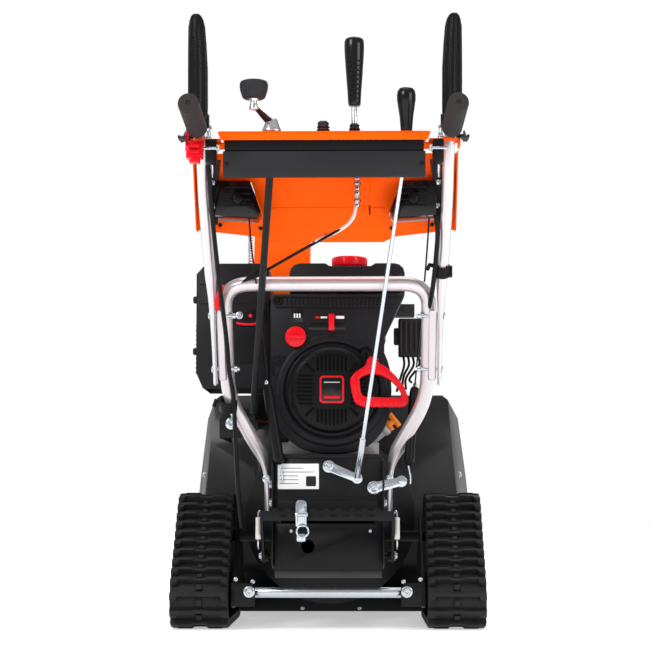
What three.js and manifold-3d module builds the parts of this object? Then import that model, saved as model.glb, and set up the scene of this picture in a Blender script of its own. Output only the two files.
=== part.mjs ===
// Two stage snowblower on rubber tracks, seen as an assembly of separate pieces.
// Millimetres. +X is the operator's right, +Y is forward, +Z is up. The origin is on the ground,
// at the middle of the machine's footprint. Every left-hand piece is the mirror of a right-hand one,
// except on the engine, the chute and the dash, which have no symmetry.
import * as THREE from "three";
import { mergeVertices } from "three/addons/utils/BufferGeometryUtils.js";
import Module from "manifold-3d";

const wasm = await Module();
wasm.setup();

// ---------------------------------------------------------------- driving dimensions
const GAP = 0.4; // between pieces that are bolted together
const SHEET = 4; // bucket and chassis steel

const TRACK = {
  inner: 207, width: 122, wheelR: 40, sprocketR: 73, carcass: 8, lug: 14, pitch: 30, lugLength: 14,
  axle: [70, 190], rear: [-118, 62], front: [248, 62],
};
const TRACK_MID = TRACK.inner + TRACK.width / 2;

const SHAFT_Z = 228; // impeller shaft and auger shaft
const DRUM = { r: 192, back: 196, front: 336 };
const AUGER = { y: 545, r: 190, pipeR: 17, ribbon: 38, thick: 5, inner: 58, length: 226 };
const CHUTE = {
  x: -112, y: 262, half: 63.5, depth: 118, sheet: 3, base: 437, bendZ: 740, bendR: 300, bendDeg: 55,
};

const CHASSIS = { half: 112, rear: -150, front: 195, low: 105, top: 362 };
const CRANK_Z = 500; // engine crankshaft
const COVER_X = 8; // middle of the recoil cover

const PIPE_R = 15; // lower handlebar tube
const TUBE_R = 11.5; // upper handlebar tube
const PIPE_WALL = 2;
const LEG_X = 206; // lower handlebar tube
const BAR_X = 238; // upper handlebar tube at the dash
const BAR_LOW_X = 229; // upper handlebar tube beside the lower one
const BAR_SET = 25; // how far the upper tube's foot stands behind the lower one
const LEAN = 0.7; // how far the handlebar goes back for each unit of height
const legY = (z) => -95 - (z - 330) * LEAN;
const BEND = new THREE.Vector3(BAR_X, -534, 957); // where the upper tube turns back
const GRIP = { r: 19.5, end: new THREE.Vector3(BAR_X + 9, -736.7, 991), start: 0.32 };
const LEVER_PIVOT = [-528, 985]; // y, z of the clutch lever hinge above the handlebar's bend

const DASH = { half: 192, rear: -632, front: -463, z: 954 };
const CRANK = { x: -99, y: -600, knob: [-132, -630] };
const CRANK_ROD = { top: [-99, -600, 938], foot: [-155, -190, 449] };

// ---------------------------------------------------------------- materials
const paint = (color, roughness, metalness) =>
  new THREE.MeshStandardMaterial({ color, roughness, metalness });
const ORANGE = paint(0xf4600c, 0.35, 0.1);
const BLACK = paint(0x232327, 0.5, 0.1);
const PLASTIC = paint(0x2b2b2e, 0.6, 0.0);
const RUBBER = paint(0x1c1c1c, 0.9, 0.0);
const SILVER = paint(0xc6c1c0, 0.35, 0.7);
const ZINC = paint(0xcdd3d6, 0.3, 0.9);
const RED = paint(0xdc1428, 0.4, 0.0);
const CAST = paint(0xa9a7a5, 0.6, 0.6);
const AMBER = paint(0xf08a1c, 0.45, 0.0);
const LAMP = paint(0x18181a, 0.3, 0.0);

// ---------------------------------------------------------------- solids from three.js geometry
const v3 = (p) => (p.isVector3 ? p.clone() : new THREE.Vector3(...p));
const UP_Y = new THREE.Vector3(0, 1, 0);
const turnTo = (direction) => new THREE.Quaternion().setFromUnitVectors(UP_Y, v3(direction).normalize());

function solid(geometry) {
  const loose = geometry.index ? geometry.toNonIndexed() : geometry;
  const bare = new THREE.BufferGeometry();
  bare.setAttribute("position", loose.getAttribute("position"));
  const merged = mergeVertices(bare, 1e-3);
  const index = merged.index.array;
  const faces = [];
  for (let i = 0; i < index.length; i += 3) {
    const [a, b, c] = [index[i], index[i + 1], index[i + 2]];
    if (a !== b && b !== c && a !== c) faces.push(a, b, c);
  }
  const vertProperties = new Float32Array(merged.attributes.position.array);
  const made = (list) => {
    const mesh = new wasm.Mesh({ numProp: 3, vertProperties, triVerts: Uint32Array.from(list) });
    return new wasm.Manifold(mesh);
  };
  const first = made(faces);
  return first.volume() >= 0 ? first : made(faces.reverse());
}

const join = (...parts) => parts.reduce((a, b) => a.add(b));
const cut = (body, ...tools) => tools.reduce((a, b) => a.subtract(b), body);

function box([x0, x1], [y0, y1], [z0, z1]) {
  const g = new THREE.BoxGeometry(x1 - x0, y1 - y0, z1 - z0);
  return solid(g.translate((x0 + x1) / 2, (y0 + y1) / 2, (z0 + z1) / 2));
}

// A round bar between two points; the second radius makes it a cone.
function bar(from, to, r, sides = 20, r2 = r) {
  const [a, b] = [v3(from), v3(to)];
  const along = b.clone().sub(a);
  const g = new THREE.CylinderGeometry(r2, r, along.length(), sides);
  g.applyQuaternion(turnTo(along));
  const mid = a.add(b).multiplyScalar(0.5);
  return solid(g.translate(mid.x, mid.y, mid.z));
}

const arc = (cx, cy, r, fromDeg, toDeg, n) =>
  Array.from({ length: n + 1 }, (_, i) => {
    const a = THREE.MathUtils.degToRad(fromDeg + ((toDeg - fromDeg) * i) / n);
    return [cx + r * Math.cos(a), cy + r * Math.sin(a)];
  });

// A closed outline, run anticlockwise, with at most one hole.
function shapeOf(points, hole) {
  const turnedRound = (list) => {
    const ring = list.map((p) => new THREE.Vector2(...p));
    return THREE.ShapeUtils.isClockWise(ring) ? ring.reverse() : ring;
  };
  const shape = new THREE.Shape(turnedRound(points));
  if (hole) shape.holes.push(new THREE.Path(turnedRound(hole)));
  return shape;
}

// An outline swept square along one axis. Its points are (y, z) for x, (x, z) for y, (x, y) for z.
function prismGeometry(axis, outline, from, to, hole) {
  const g = new THREE.ExtrudeGeometry(shapeOf(outline, hole), { depth: to - from, bevelEnabled: false });
  if (axis === "x") {
    const turn = new THREE.Matrix4().makeBasis(
      new THREE.Vector3(0, 1, 0), new THREE.Vector3(0, 0, 1), new THREE.Vector3(1, 0, 0));
    return g.applyMatrix4(turn).translate(from, 0, 0);
  }
  if (axis === "y") return g.rotateX(Math.PI / 2).translate(0, to, 0);
  return g.translate(0, 0, from);
}
const prism = (...args) => solid(prismGeometry(...args));

// A path of straight runs and bends, sampled only where it turns.
class Bends extends THREE.Curve {
  constructor(points, radius, perBend = 4) {
    super();
    const p = points.map(v3);
    this.list = [p[0]];
    for (let i = 1; i < p.length - 1; i++) {
      const into = p[i - 1].clone().sub(p[i]);
      const away = p[i + 1].clone().sub(p[i]);
      const reach = Math.min(radius, into.length() * 0.48, away.length() * 0.48);
      const a = p[i].clone().add(into.setLength(reach));
      const b = p[i].clone().add(away.setLength(reach));
      this.list.push(...new THREE.QuadraticBezierCurve3(a, p[i], b).getPoints(perBend));
    }
    this.list.push(p[p.length - 1]);
  }
  get steps() {
    return this.list.length - 1;
  }
  getPoint(t) {
    const s = Math.min(t, 1) * this.steps;
    const i = Math.min(Math.floor(s), this.steps - 1);
    return this.list[i].clone().lerp(this.list[i + 1], s - i);
  }
  getPointAt(t) {
    return this.getPoint(t);
  }
  getSpacedPoints(n) {
    return this.getPoints(n);
  }
  getTangentAt(t) {
    const i = Math.round(t * this.steps);
    const after = this.list[Math.min(i + 1, this.steps)];
    return after.clone().sub(this.list[Math.max(i - 1, 0)]).normalize();
  }
}

function pipe(points, { r = PIPE_R, wall = 0, bend = 50, sides = 14, perBend = 4 } = {}) {
  const path = new Bends(points, bend, perBend);
  const ring = (radius) => arc(0, 0, radius, 0, 360, sides).slice(0, sides);
  const shape = shapeOf(ring(r), wall ? ring(r - wall) : null);
  return solid(new THREE.ExtrudeGeometry(shape, { steps: path.steps, extrudePath: path }));
}

// A turned piece: profile of (radius, distance) pairs, placed along an axis from a point.
function turned(profile, from, direction, sides = 24) {
  const g = new THREE.LatheGeometry(profile.map((p) => new THREE.Vector2(...p)), sides);
  g.applyQuaternion(turnTo(direction));
  return solid(g.translate(...v3(from).toArray()));
}

function warp(geometry, move) {
  const p = geometry.getAttribute("position");
  const v = new THREE.Vector3();
  for (let i = 0; i < p.count; i++) {
    move(v.fromBufferAttribute(p, i));
    p.setXYZ(i, v.x, v.y, v.z);
  }
  return geometry;
}

function piece(name, body, material) {
  const mesh = body.getMesh();
  const g = new THREE.BufferGeometry();
  g.setAttribute("position", new THREE.BufferAttribute(new Float32Array(mesh.vertProperties), 3));
  g.setIndex(new THREE.BufferAttribute(new Uint32Array(mesh.triVerts), 1));
  g.computeVertexNormals();
  const made = new THREE.Mesh(g, material);
  made.name = name;
  return made;
}

// Builds a right-hand group, and mirrors it for the left.
function bothSides(build) {
  const pair = new THREE.Group();
  for (const side of ["right", "left"]) {
    const group = new THREE.Group();
    group.add(...build(side));
    if (side === "left") group.scale.x = -1;
    pair.add(group);
  }
  return pair;
}

// ---------------------------------------------------------------- tracks
// The belt runs round three wheels. A stretch is an arc round a wheel or the straight run after it.
function beltStretches() {
  const wheels = [
    { c: TRACK.rear, r: TRACK.wheelR },
    { c: TRACK.front, r: TRACK.wheelR },
    { c: TRACK.axle, r: TRACK.sprocketR },
  ];
  const mid = TRACK.carcass / 2;
  const runs = wheels.map(({ c, r }, i) => {
    const next = wheels[(i + 1) % 3];
    const d = [next.c[0] - c[0], next.c[1] - c[1]];
    const far = Math.hypot(...d);
    const lean = (r - next.r) / far;
    const square = Math.sqrt(1 - lean * lean);
    const n = [(d[0] * lean + d[1] * square) / far, (d[1] * lean - d[0] * square) / far];
    return { c, r, next, n, angle: Math.atan2(n[1], n[0]), length: far * square };
  });
  const stretches = [];
  runs.forEach((run, i) => {
    stretches.push({ line: true, ...run });
    const after = runs[(i + 1) % 3];
    let sweep = after.angle - run.angle;
    if (sweep < 0) sweep += 2 * Math.PI;
    stretches.push({ c: after.c, r: after.r, angle: run.angle, sweep, length: sweep * (after.r + mid) });
  });
  return stretches;
}

// The point at distance s round the belt, at height h above its inner face.
function beltPoint(stretches, s, h) {
  const total = stretches.reduce((sum, t) => sum + t.length, 0);
  let rest = ((s % total) + total) % total;
  let i = 0;
  while (i < stretches.length - 1 && rest > stretches[i].length) {
    rest -= stretches[i].length;
    i += 1;
  }
  const here = stretches[i];
  if (here.line) {
    const [ny, nz] = here.n;
    const reach = here.r + h;
    return [here.c[0] + ny * reach - nz * rest, here.c[1] + nz * reach + ny * rest];
  }
  const a = here.angle + (here.sweep * rest) / here.length;
  return [here.c[0] + (here.r + h) * Math.cos(a), here.c[1] + (here.r + h) * Math.sin(a)];
}

function trackBelt() {
  const stretches = beltStretches();
  const total = stretches.reduce((sum, t) => sum + t.length, 0);
  const count = Math.round(total / TRACK.pitch);
  const outer = [];
  for (let i = 0; i < count; i++) {
    const s = (i * total) / count;
    outer.push(
      beltPoint(stretches, s, TRACK.carcass),
      beltPoint(stretches, s + 1.5, TRACK.carcass + TRACK.lug),
      beltPoint(stretches, s + TRACK.lugLength - 1.5, TRACK.carcass + TRACK.lug),
      beltPoint(stretches, s + TRACK.lugLength, TRACK.carcass),
    );
  }
  const inner = [];
  let s = 0;
  for (const t of stretches) {
    const steps = t.line ? 1 : 9;
    for (let i = 0; i < steps; i++) inner.push(beltPoint(stretches, s + (t.length * i) / steps, 0));
    s += t.length;
  }
  return prism("x", outer, TRACK.inner, TRACK.inner + TRACK.width, inner);
}

// An idler is two tyres on one hub that turns in the track beam.
function idler([y, z]) {
  const r = TRACK.wheelR - 1;
  const tyre = (x) => bar([x, y, z], [x + 32, y, z], r, 24);
  const hub = bar([TRACK.inner + 8, y, z], [TRACK.inner + 114, y, z], 12, 20);
  return join(hub, tyre(TRACK.inner + 8), tyre(TRACK.inner + 82));
}

// The sprocket's two toothed discs and the half axle that drives them.
function sprocket() {
  const [y, z] = TRACK.axle;
  const teeth = 12;
  const outline = [];
  for (let i = 0; i < teeth; i++) {
    const tooth = (turn, r) => {
      const a = ((i + turn) * 2 * Math.PI) / teeth;
      return [y + r * Math.cos(a), z + r * Math.sin(a)];
    };
    outline.push(tooth(0, 62), tooth(0.18, 71.2), tooth(0.46, 71.2), tooth(0.64, 62));
  }
  const disc = (x) => prism("x", outline, x, x + 12);
  const axle = bar([58, y, z], [TRACK.inner + 104, y, z], 12, 16);
  const hub = bar([TRACK.inner + 22, y, z], [TRACK.inner + 100, y, z], 26, 16);
  return join(axle, hub, disc(TRACK.inner + 28), disc(TRACK.inner + 82));
}

function trackFrame() {
  const [x0, x1] = [TRACK_MID - 13, TRACK_MID + 13];
  const plate = [196, 202];
  const [rear, front] = [TRACK.rear, TRACK.front];
  const beam = box([x0, x1], [rear[0] - 18, front[0] + 18], [rear[1] - 16, rear[1] + 16]);
  const bridge = box([plate[0], x0 + 1], [20, 120], [50, 74]);
  const cheek = prism("x", [[-150, 48], [-128, 44], [255, 44], [262, 70], [112, 214], [92, 228], [48, 228],
    [30, 212], [-118, 96], [-150, 96]], ...plate);
  const bracket = box([158, plate[0] + 1], [-150, -108], [52, 95]);
  const wheelHole = ([y, z]) => bar([x0 - 5, y, z], [x1 + 5, y, z], 13, 20);
  const axleHole = bar([190, ...TRACK.axle], [210, ...TRACK.axle], 14, 20);
  return cut(join(beam, bridge, cheek, bracket), wheelHole(rear), wheelHole(front), axleHole);
}

const crossTube = () => bar([-158 + GAP, -130, 76], [158 - GAP, -130, 76], 11, 20);

// ---------------------------------------------------------------- chassis
function chassisBox() {
  const { half, rear, front, low, top } = CHASSIS;
  const side = [[rear, low + 17], [rear + 40, low], [front, low + 40], [front, top - 40], [front - 80, top],
    [rear, top]];
  const room = [[rear + SHEET, low + 20], [rear + 42, low + SHEET], [front + 9, low + 46],
    [front + 9, top - 44], [front - 82, top - SHEET], [rear + SHEET, top - SHEET]];
  const outer = prism("x", side, -half, half);
  const inner = prism("x", room, -half + SHEET, half - SHEET);
  const hatch = box([-98, 98], [rear - 1, rear + 9], [126, 246]);
  const [ay, az] = TRACK.axle;
  const axleHole = bar([-half - 5, ay, az], [half + 5, ay, az], 13.2, 20);
  const beltSlot = box([-62, 62], [118, 168], [top - 80, top + 9]);
  const stud = ([x, z]) => bar([x, ARM_Y - 8, z], [x, rear + 2, z], 4.4, 12);
  const pedalPin = (x) => bar([x, -130, 152], [x + 35, -130, 152], 5, 12);
  const shell = cut(outer, inner, hatch, axleHole, beltSlot);
  return join(shell, stud(SPEED_ARM.pivot), stud(AUGER_ARM.pivot), pedalPin(-145), pedalPin(110));
}

const rearCover = () => {
  const y = CHASSIS.rear - GAP;
  const plate = box([-111, 113], [y - 4, y], [120, 219]);
  const window = prism("y", arc(-42, 172, 14, 0, 360, 16).slice(0, 16), y - 5, y + 1);
  return cut(plate, window);
};

// The pedal that unlocks the height setting: a serrated tread on two arms.
function footPedal() {
  const [back, front] = [-252, -214];
  const tread = box([-137, 137], [back, front], [226, 246]);
  const teeth = [];
  for (let x = -105; x <= 105; x += 26) teeth.push([x - 9, 243], [x - 4, 251], [x + 4, 251], [x + 9, 243]);
  const comb = (y) => prism("y", [[-120, 240], ...teeth, [120, 240]], y, y + 4);
  const side = [[back + 4, 228], [-142, 138], [-118, 146], [-118, 160], [front - 4, 244]];
  const arm = (x) => prism("x", side, x, x + 5);
  const hinge = (x) => bar([x, -130, 152], [x + 12, -130, 152], 11, 16);
  return cut(
    join(tread, comb(back), comb(front - 4), arm(-137), arm(132), hinge(-137), hinge(125)),
    bar([-150, -130, 152], [150, -130, 152], 6, 12),
    box([-131.8, 131.8], [back + 3, front - 3], [220, 243]),
  );
}

// Plate arms on the chassis rear, worked by the speed rod and by the auger cable.
const ARM_Y = -156;
const SPEED_ARM = { pivot: [2, 338], end: [61, 313], r: 13 };
const AUGER_ARM = { pivot: [96, 294], end: [153, 307], r: 14 };
function plateArm({ pivot: [x0, z0], end: [x1, z1], r }) {
  const y = ARM_Y;
  const end = (x, z, k) => bar([x, y - 4, z], [x, y, z], r * k, 20);
  const d = new THREE.Vector2(x1 - x0, z1 - z0).normalize();
  const side = (x, z, w) => [x - d.y * w, z + d.x * w];
  const web = prism("y", [side(x0, z0, r * 0.8), side(x0, z0, -r * 0.8), side(x1, z1, -r * 0.65),
    side(x1, z1, r * 0.65)], y - 4, y);
  const hole = bar([x0, y - 9, z0], [x0, y + 5, z0], 5, 12);
  return cut(join(end(x0, z0, 1), end(x1, z1, 0.85), web), hole);
}

// ---------------------------------------------------------------- bucket
// The bucket's side plates flare towards the front and lean in towards the top.
const flare = (y, z) => 296 + 0.12 * (y - 330) - 0.1 * (z - 250);
const flared = (outline, inset) =>
  solid(warp(prismGeometry("x", outline, -1, 1), (v) => {
    v.x = Math.sign(v.x) * (flare(v.y, v.z) + inset);
  }));

// Everything below the bucket's roof, whose two long corners are folded down.
const crown = (t) => prism("y", [[-600, -20], [600, -20], [600, 232 - t * 1.3], [262 - t * 0.4, 515 - t],
  [t * 0.4 - 262, 515 - t], [-600, 232 - t * 1.3]], 300, 800);

function bucket() {
  const R = 212;
  const back = arc(AUGER.y, SHAFT_Z, R, -90, -180, 10);
  const outer = [[735, 16], ...back, [338, 400], [372, 515], [640, 515], [728, 330], [740, 70]];
  const innerBack = arc(AUGER.y, SHAFT_Z, R - SHEET, -90, -180, 10);
  const inner = [[790, 20], ...innerBack, [342, 399], [375, 511], [790, 511]];
  const shell = cut(flared(outer, 0).intersect(crown(0)), flared(inner, -SHEET).intersect(crown(SHEET)));
  const drumWall = bar([0, DRUM.back, SHAFT_Z], [0, DRUM.front, SHAFT_Z], DRUM.r, 40);
  const drumRoom = bar([0, DRUM.back + SHEET, SHAFT_Z], [0, DRUM.front + 40, SHAFT_Z], DRUM.r - SHEET, 40);
  const collar = bar([CHUTE.x, CHUTE.y, 300], [CHUTE.x, CHUTE.y, CHUTE.base - 1], 62, 32);
  const rim = bar([CHUTE.x, CHUTE.y, CHUTE.base - 8], [CHUTE.x, CHUTE.y, CHUTE.base - 1], 69, 32);
  const throat = bar([CHUTE.x, CHUTE.y, 296], [CHUTE.x, CHUTE.y, CHUTE.base + 5], 58, 32);
  const shaftHole = bar([0, DRUM.back - 5, SHAFT_Z], [0, DRUM.back + 9, SHAFT_Z], 12, 20);
  const augerHole = bar([-360, AUGER.y, SHAFT_Z], [360, AUGER.y, SHAFT_Z], 13, 20);
  return cut(join(shell, drumWall, collar, rim), drumRoom, throat, shaftHole, augerHole);
}

const scraperBar = () => box([-305, 305], [676, 739], [1, 16 - GAP]);

function skidShoe() {
  const foot = [[486, 0], [704, 0], [720, 10], [720, 15], [700, 5], [490, 5], [470, 15], [470, 10]];
  const wall = [[500, 2], [690, 2], [676, 88], [514, 88]];
  const inside = [[400, -50], [800, -50], [800, 200], [400, 200]];
  const slab = (outline, from, to) => cut(flared(outline, to), flared(inside, from));
  const both = join(slab(wall, GAP, 5), slab(foot, -34, 5));
  return both.intersect(box([200, 420], [400, 800], [-10, 200]));
}

function augerGearbox() {
  const y = AUGER.y;
  const casing = join(
    bar([-42, y, SHAFT_Z], [42, y, SHAFT_Z], 46, 24),
    bar([0, y - 92, SHAFT_Z], [0, y, SHAFT_Z], 30, 20),
  );
  const cross = bar([-60, y, SHAFT_Z], [60, y, SHAFT_Z], AUGER.pipeR + 1, 20);
  const input = bar([0, y - 100, SHAFT_Z], [0, y - 50, SHAFT_Z], 11.5, 20);
  return cut(casing, cross, input);
}

// Two opposite-handed ribbon augers on one pipe, which runs through the gearbox.
function auger() {
  const { y, r, pipeR, ribbon, thick, inner, length } = AUGER;
  const shaft = bar([-316, y, SHAFT_Z], [316, y, SHAFT_Z], 12, 16);
  const core = bar([-298, y, SHAFT_Z], [298, y, SHAFT_Z], pipeR, 16);
  const parts = [shaft, core];
  const turns = 0.75;
  for (const side of [-1, 1]) {
    for (const start of [0, Math.PI]) {
      const strip = new THREE.BoxGeometry(1, ribbon, thick, 15, 1, 1);
      const angleAt = (u) => start + side * turns * u * 2 * Math.PI;
      parts.push(solid(warp(strip, (v) => {
        const u = v.x + 0.5;
        const reach = r - ribbon / 2 + v.y;
        const a = angleAt(u);
        v.set(side * (inner + u * length) + v.z, y + reach * Math.cos(a), SHAFT_Z + reach * Math.sin(a));
      })));
      for (const u of [0.06, 0.62]) {
        const a = angleAt(u);
        const x = side * (inner + u * length);
        const tip = r - ribbon * 0.6;
        parts.push(bar([x, y, SHAFT_Z], [x, y + tip * Math.cos(a), SHAFT_Z + tip * Math.sin(a)], 7, 8));
      }
    }
  }
  return join(...parts);
}

// Impeller, its shaft, and the pulley at its rear end.
function impeller() {
  const shaft = bar([0, 118, SHAFT_Z], [0, AUGER.y - 54, SHAFT_Z], 10, 20);
  const hub = bar([0, 224, SHAFT_Z], [0, 312, SHAFT_Z], 28, 20);
  const rim = [[0, 0], [84, 0], [84, 4], [70, 12], [84, 20], [84, 24], [0, 24]];
  const pulley = turned(rim, [0, 126, SHAFT_Z], UP_Y, 32);
  const blades = [0, 1, 2, 3].map((i) => {
    const g = new THREE.BoxGeometry(160, 100, 5).translate(100, 264, 0);
    const lip = new THREE.BoxGeometry(5, 100, 26).translate(176, 264, 11);
    const turn = new THREE.Matrix4().makeRotationY((-i * Math.PI) / 2 - 0.4);
    const place = (geometry) => solid(geometry.applyMatrix4(turn).translate(0, 0, SHAFT_Z));
    return join(place(g), place(lip));
  });
  return join(shaft, hub, pulley, ...blades);
}

// ---------------------------------------------------------------- chute
// The chute's side view at a given inset from its sheet's outer face.
function chuteSide(inset, mouth, topDeg = CHUTE.bendDeg) {
  const { y, depth, base, bendZ, bendR, bendDeg } = CHUTE;
  const back = y - depth / 2 + inset;
  const cy = y - depth / 2 + bendR;
  const rear = arc(cy, bendZ, bendR - inset, 180, 180 - topDeg, 8);
  const front = arc(cy, bendZ, bendR - depth - mouth, 180 - topDeg, 180, 8);
  return [[back, base], ...rear, ...front, [y + depth / 2 + mouth, base]];
}

function chute() {
  const { x, y, half, base, sheet } = CHUTE;
  const body = prism("x", chuteSide(0, 0), x - half, x + half);
  const room = prism("x", chuteSide(sheet, 60, CHUTE.bendDeg + 6), x - half + sheet, x + half - sheet);
  const openFront = room.intersect(box([x - 90, x + 90], [0, 900], [base + 150, 1200]));
  const duct = prism("x", chuteSide(sheet, -sheet), x - half + sheet, x + half - sheet);
  const lower = duct.intersect(box([x - 90, x + 90], [0, 900], [base + 12, base + 160]));
  const ring = join(
    bar([x, y, base], [x, y, base + 12], 78, 36),
    bar([x, y, base + 2], [x, y, base + 10], 82, 36),
  );
  const hole = bar([x, y, base - 5], [x, y, base + 13], 55, 32);
  return cut(join(body, ring), openFront, lower, hole);
}

// The deflector hood continues the chute's bend and pivots on its own rear edge.
function deflector() {
  const { x, half, sheet, bendR, bendZ, y, depth, bendDeg } = CHUTE;
  const w = half + 4;
  const cy = y - depth / 2 + bendR;
  const from = 180 - bendDeg + 1;
  const top = arc(cy, bendZ, bendR + 6, from, from - 30, 6);
  const roof = [...top, ...arc(cy, bendZ, bendR + 3, from - 30, from, 6)];
  const cheek = [...top, ...arc(cy, bendZ, bendR - 62, from - 26, from - 3, 4)];
  return join(
    prism("x", roof, x - w, x + w),
    prism("x", cheek, x - w, x - w + sheet),
    prism("x", cheek, x + w - sheet, x + w),
  );
}

// ---------------------------------------------------------------- engine
function engineBlock() {
  const sump = box([-104, 108], [-24, 98], [CHASSIS.top + GAP, 392]);
  const crankcase = box([-88, 84], [-27, 100], [390, 600]);
  const head = prism("y", [[-60, 590], [60, 590], [40, 690], [-50, 690]], 0, 96);
  const boss = bar([0, 98, CRANK_Z], [0, 112, CRANK_Z], 44, 24);
  const filler = bar([74, -8, 386], [126, -8, 428], 13, 16);
  const fins = [0, 1, 2, 3].map((i) => box([-72, 72], [-4, 96], [612 + i * 20, 618 + i * 20]));
  const bore = bar([0, 90, CRANK_Z], [0, 130, CRANK_Z], 13, 20);
  return cut(join(sump, crankcase, head, boss, filler, ...fins), bore);
}

// The fan housing's outline: a circle drawn a little towards a square.
const housing = (halfWidth, halfHeight) =>
  arc(0, 0, 1, 0, 360, 48).slice(0, 48).map(([c, s]) => {
    const square = (t) => Math.sign(t) * Math.abs(t) ** 0.8;
    return [COVER_X + halfWidth * square(c), CRANK_Z + halfHeight * square(s)];
  });

function engineShroud() {
  const [y0, y1] = [-112, -30];
  const body = (i, from, to) => {
    const [left, right, top] = [-121 + i, 119 - i, 705 - i];
    const panel = [[left, 500], [right, 500], [right, 612], [163 - i * 1.1, top], [left, top]];
    return join(prism("y", panel, from, to), prism("y", housing(126 - i, 133 - i), from, to));
  };
  return cut(body(0, y0, y1), body(4, y0 + 4, y1 + 5));
}

const recoilCover = () => {
  const profile = [[0, 0], [60, 0], [84, 4], [99, 14], [99, 27.6], [0, 27.6]];
  return turned(profile, [COVER_X, -140, CRANK_Z], [0, 1, 0], 40);
};

function recoilHandle() {
  const outer = [[84, 568], [99, 568], [105, 556], [122, 546], [143, 527], [159, 506], [168, 484], [169, 470],
    [160, 461], [72, 462], [56, 470], [49, 494], [45, 520], [54, 533], [79, 550]];
  const inner = [[66, 523], [88, 532], [110, 529], [128, 520], [144, 505], [154, 489], [152, 481], [76, 484],
    [69, 492]];
  return prism("y", outer, -162, -146, inner);
}

function fuelTank() {
  const [right, left] = [arc(142, 754, 22, 0, 90, 3), arc(-62, 754, 22, 90, 180, 3)];
  const outline = [[-84, 712], [164, 712], [164, 748], ...right, [100, 776], [92, 770], [2, 770], [-6, 776],
    ...left];
  return prism("y", outline, -72, 112);
}
const fuelCap = () => {
  const profile = [[0, 0], [30, 0], [30, 8], [39, 8], [39, 27], [35, 32], [0, 32]];
  return turned(profile, [45, 20, 770 + GAP], [0, 0, 1], 24);
};

function intakeBox() {
  const outline = [[-270, 507], [-140, 507], [-128, 519], [-128, 764], [-141, 777], [-264, 777],
    [-285, 754], [-285, 541]];
  const room = [[-268, 500], [-142, 500], [-132, 522], [-132, 762], [-143, 773], [-262, 773], [-281, 752],
    [-281, 543]];
  const duct = box([-130, -88.6], [10, 70], [560, 620]);
  return cut(join(prism("y", outline, -60, 150), duct), prism("y", room, -56, 146));
}

function muffler() {
  const can = prism("y", [[14, 612], [116, 612], [125, 622], [125, 698], [114, 708], [14, 708]], 104, 188);
  return join(can, box([120, 190], [112, 152], [678, 706]), box([20, 60], [97, 110], [640, 680]));
}

const oilCap = () => {
  const out = new THREE.Vector3(52, 0, 42).normalize();
  const seat = new THREE.Vector3(126, -8, 428).addScaledVector(out, GAP);
  const tip = seat.clone().addScaledVector(out, 8);
  const flag = tip.clone().addScaledVector(out, 12);
  const cross = new THREE.Vector3(-out.z, 0, out.x).multiplyScalar(17);
  return join(
    bar(seat, tip, 15, 16),
    bar(tip.clone().addScaledVector(out, -1), flag, 6, 10),
    bar(flag.clone().sub(cross), flag.clone().add(cross), 6, 10),
  );
};

const chokeKnob = () =>
  cut(
    join(
      bar([-69, -126, 613], [-69, -112 - GAP, 613], 22, 24),
      box([-88, -50], [-132, -125], [609, 617]),
    ),
    bar([-69, -140, 613], [-69, -129, 613], 5, 10),
  );
const throttleSlider = () => box([1, 13], [-130, -112 - GAP], [626, 661]);

// Crankshaft end with the twin belt pulley.
const crankPulley = () =>
  turned([[0, 0], [12, 0], [12, 26], [38, 26], [38, 29], [28, 38], [38, 47], [38, 51], [28, 60], [38, 69],
    [38, 72], [0, 72]], [0, 94, CRANK_Z], [0, 1, 0], 28);

function beltCover() {
  const [y0, y1] = [113, 178];
  const side = (i) => [[-74 + i, 364], [74 - i, 364], [74 - i, 540], [52 - i, 588 - i], [-52 + i, 588 - i],
    [-74 + i, 540]];
  const shell = cut(prism("y", side(0), y0, y1), prism("y", side(3), y0 + 3, y1 + 3));
  const floor = box([-72, 72], [y0, y1], [360, 366]);
  return cut(shell, floor, bar([0, 100, CRANK_Z], [0, 130, CRANK_Z], 42, 24));
}

// ---------------------------------------------------------------- handlebar
function handleFrame() {
  const low = [128, -72, 250];
  const waist = [128, -104, 345];
  const hip = [LEG_X, legY(478), 478];
  const corner = [LEG_X, legY(700), 700];
  const mirror = ([x, y, z]) => [-x, y, z];
  const run = [low, waist, hip, corner, mirror(corner), mirror(hip), mirror(waist), mirror(low)];
  return pipe(run, { wall: PIPE_WALL, bend: 55, perBend: 3, sides: 12 });
}

// The upper tube's foot is pressed flat where it is bolted beside the lower tube.
function flattenFoot(point) {
  const up = Math.max(0, (point[2] - 510) / 200);
  point[0] = BAR_LOW_X + (point[0] - BAR_LOW_X) * Math.min(1, 0.4 + 0.6 * up ** 3);
}

function handleTube() {
  const low = (z) => [BAR_LOW_X, legY(z) - BAR_SET, z];
  const hip = [BAR_X, legY(850) - BAR_SET + 15, 850];
  const run = [low(508), low(620), low(698), hip, BEND, GRIP.end.clone().lerp(BEND, 0.04)];
  const [py, pz] = LEVER_PIVOT;
  const eye = bar([BAR_X - 6, py, pz], [BAR_X + 6, py, pz], 10.5, 16);
  const post = box([BAR_X - 6, BAR_X + 6], [py - 9, py + 9], [pz - 40, pz]);
  const lug = cut(join(eye, post), pipe(run, { r: TUBE_R - 1, bend: 60, perBend: 5 }));
  const tube = pipe(run, { r: TUBE_R, wall: PIPE_WALL, bend: 60, perBend: 5 }).warp(flattenFoot);
  return cut(join(tube, lug), bar([BAR_X - 9, py, pz], [BAR_X + 9, py, pz], 4, 12));
}

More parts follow.
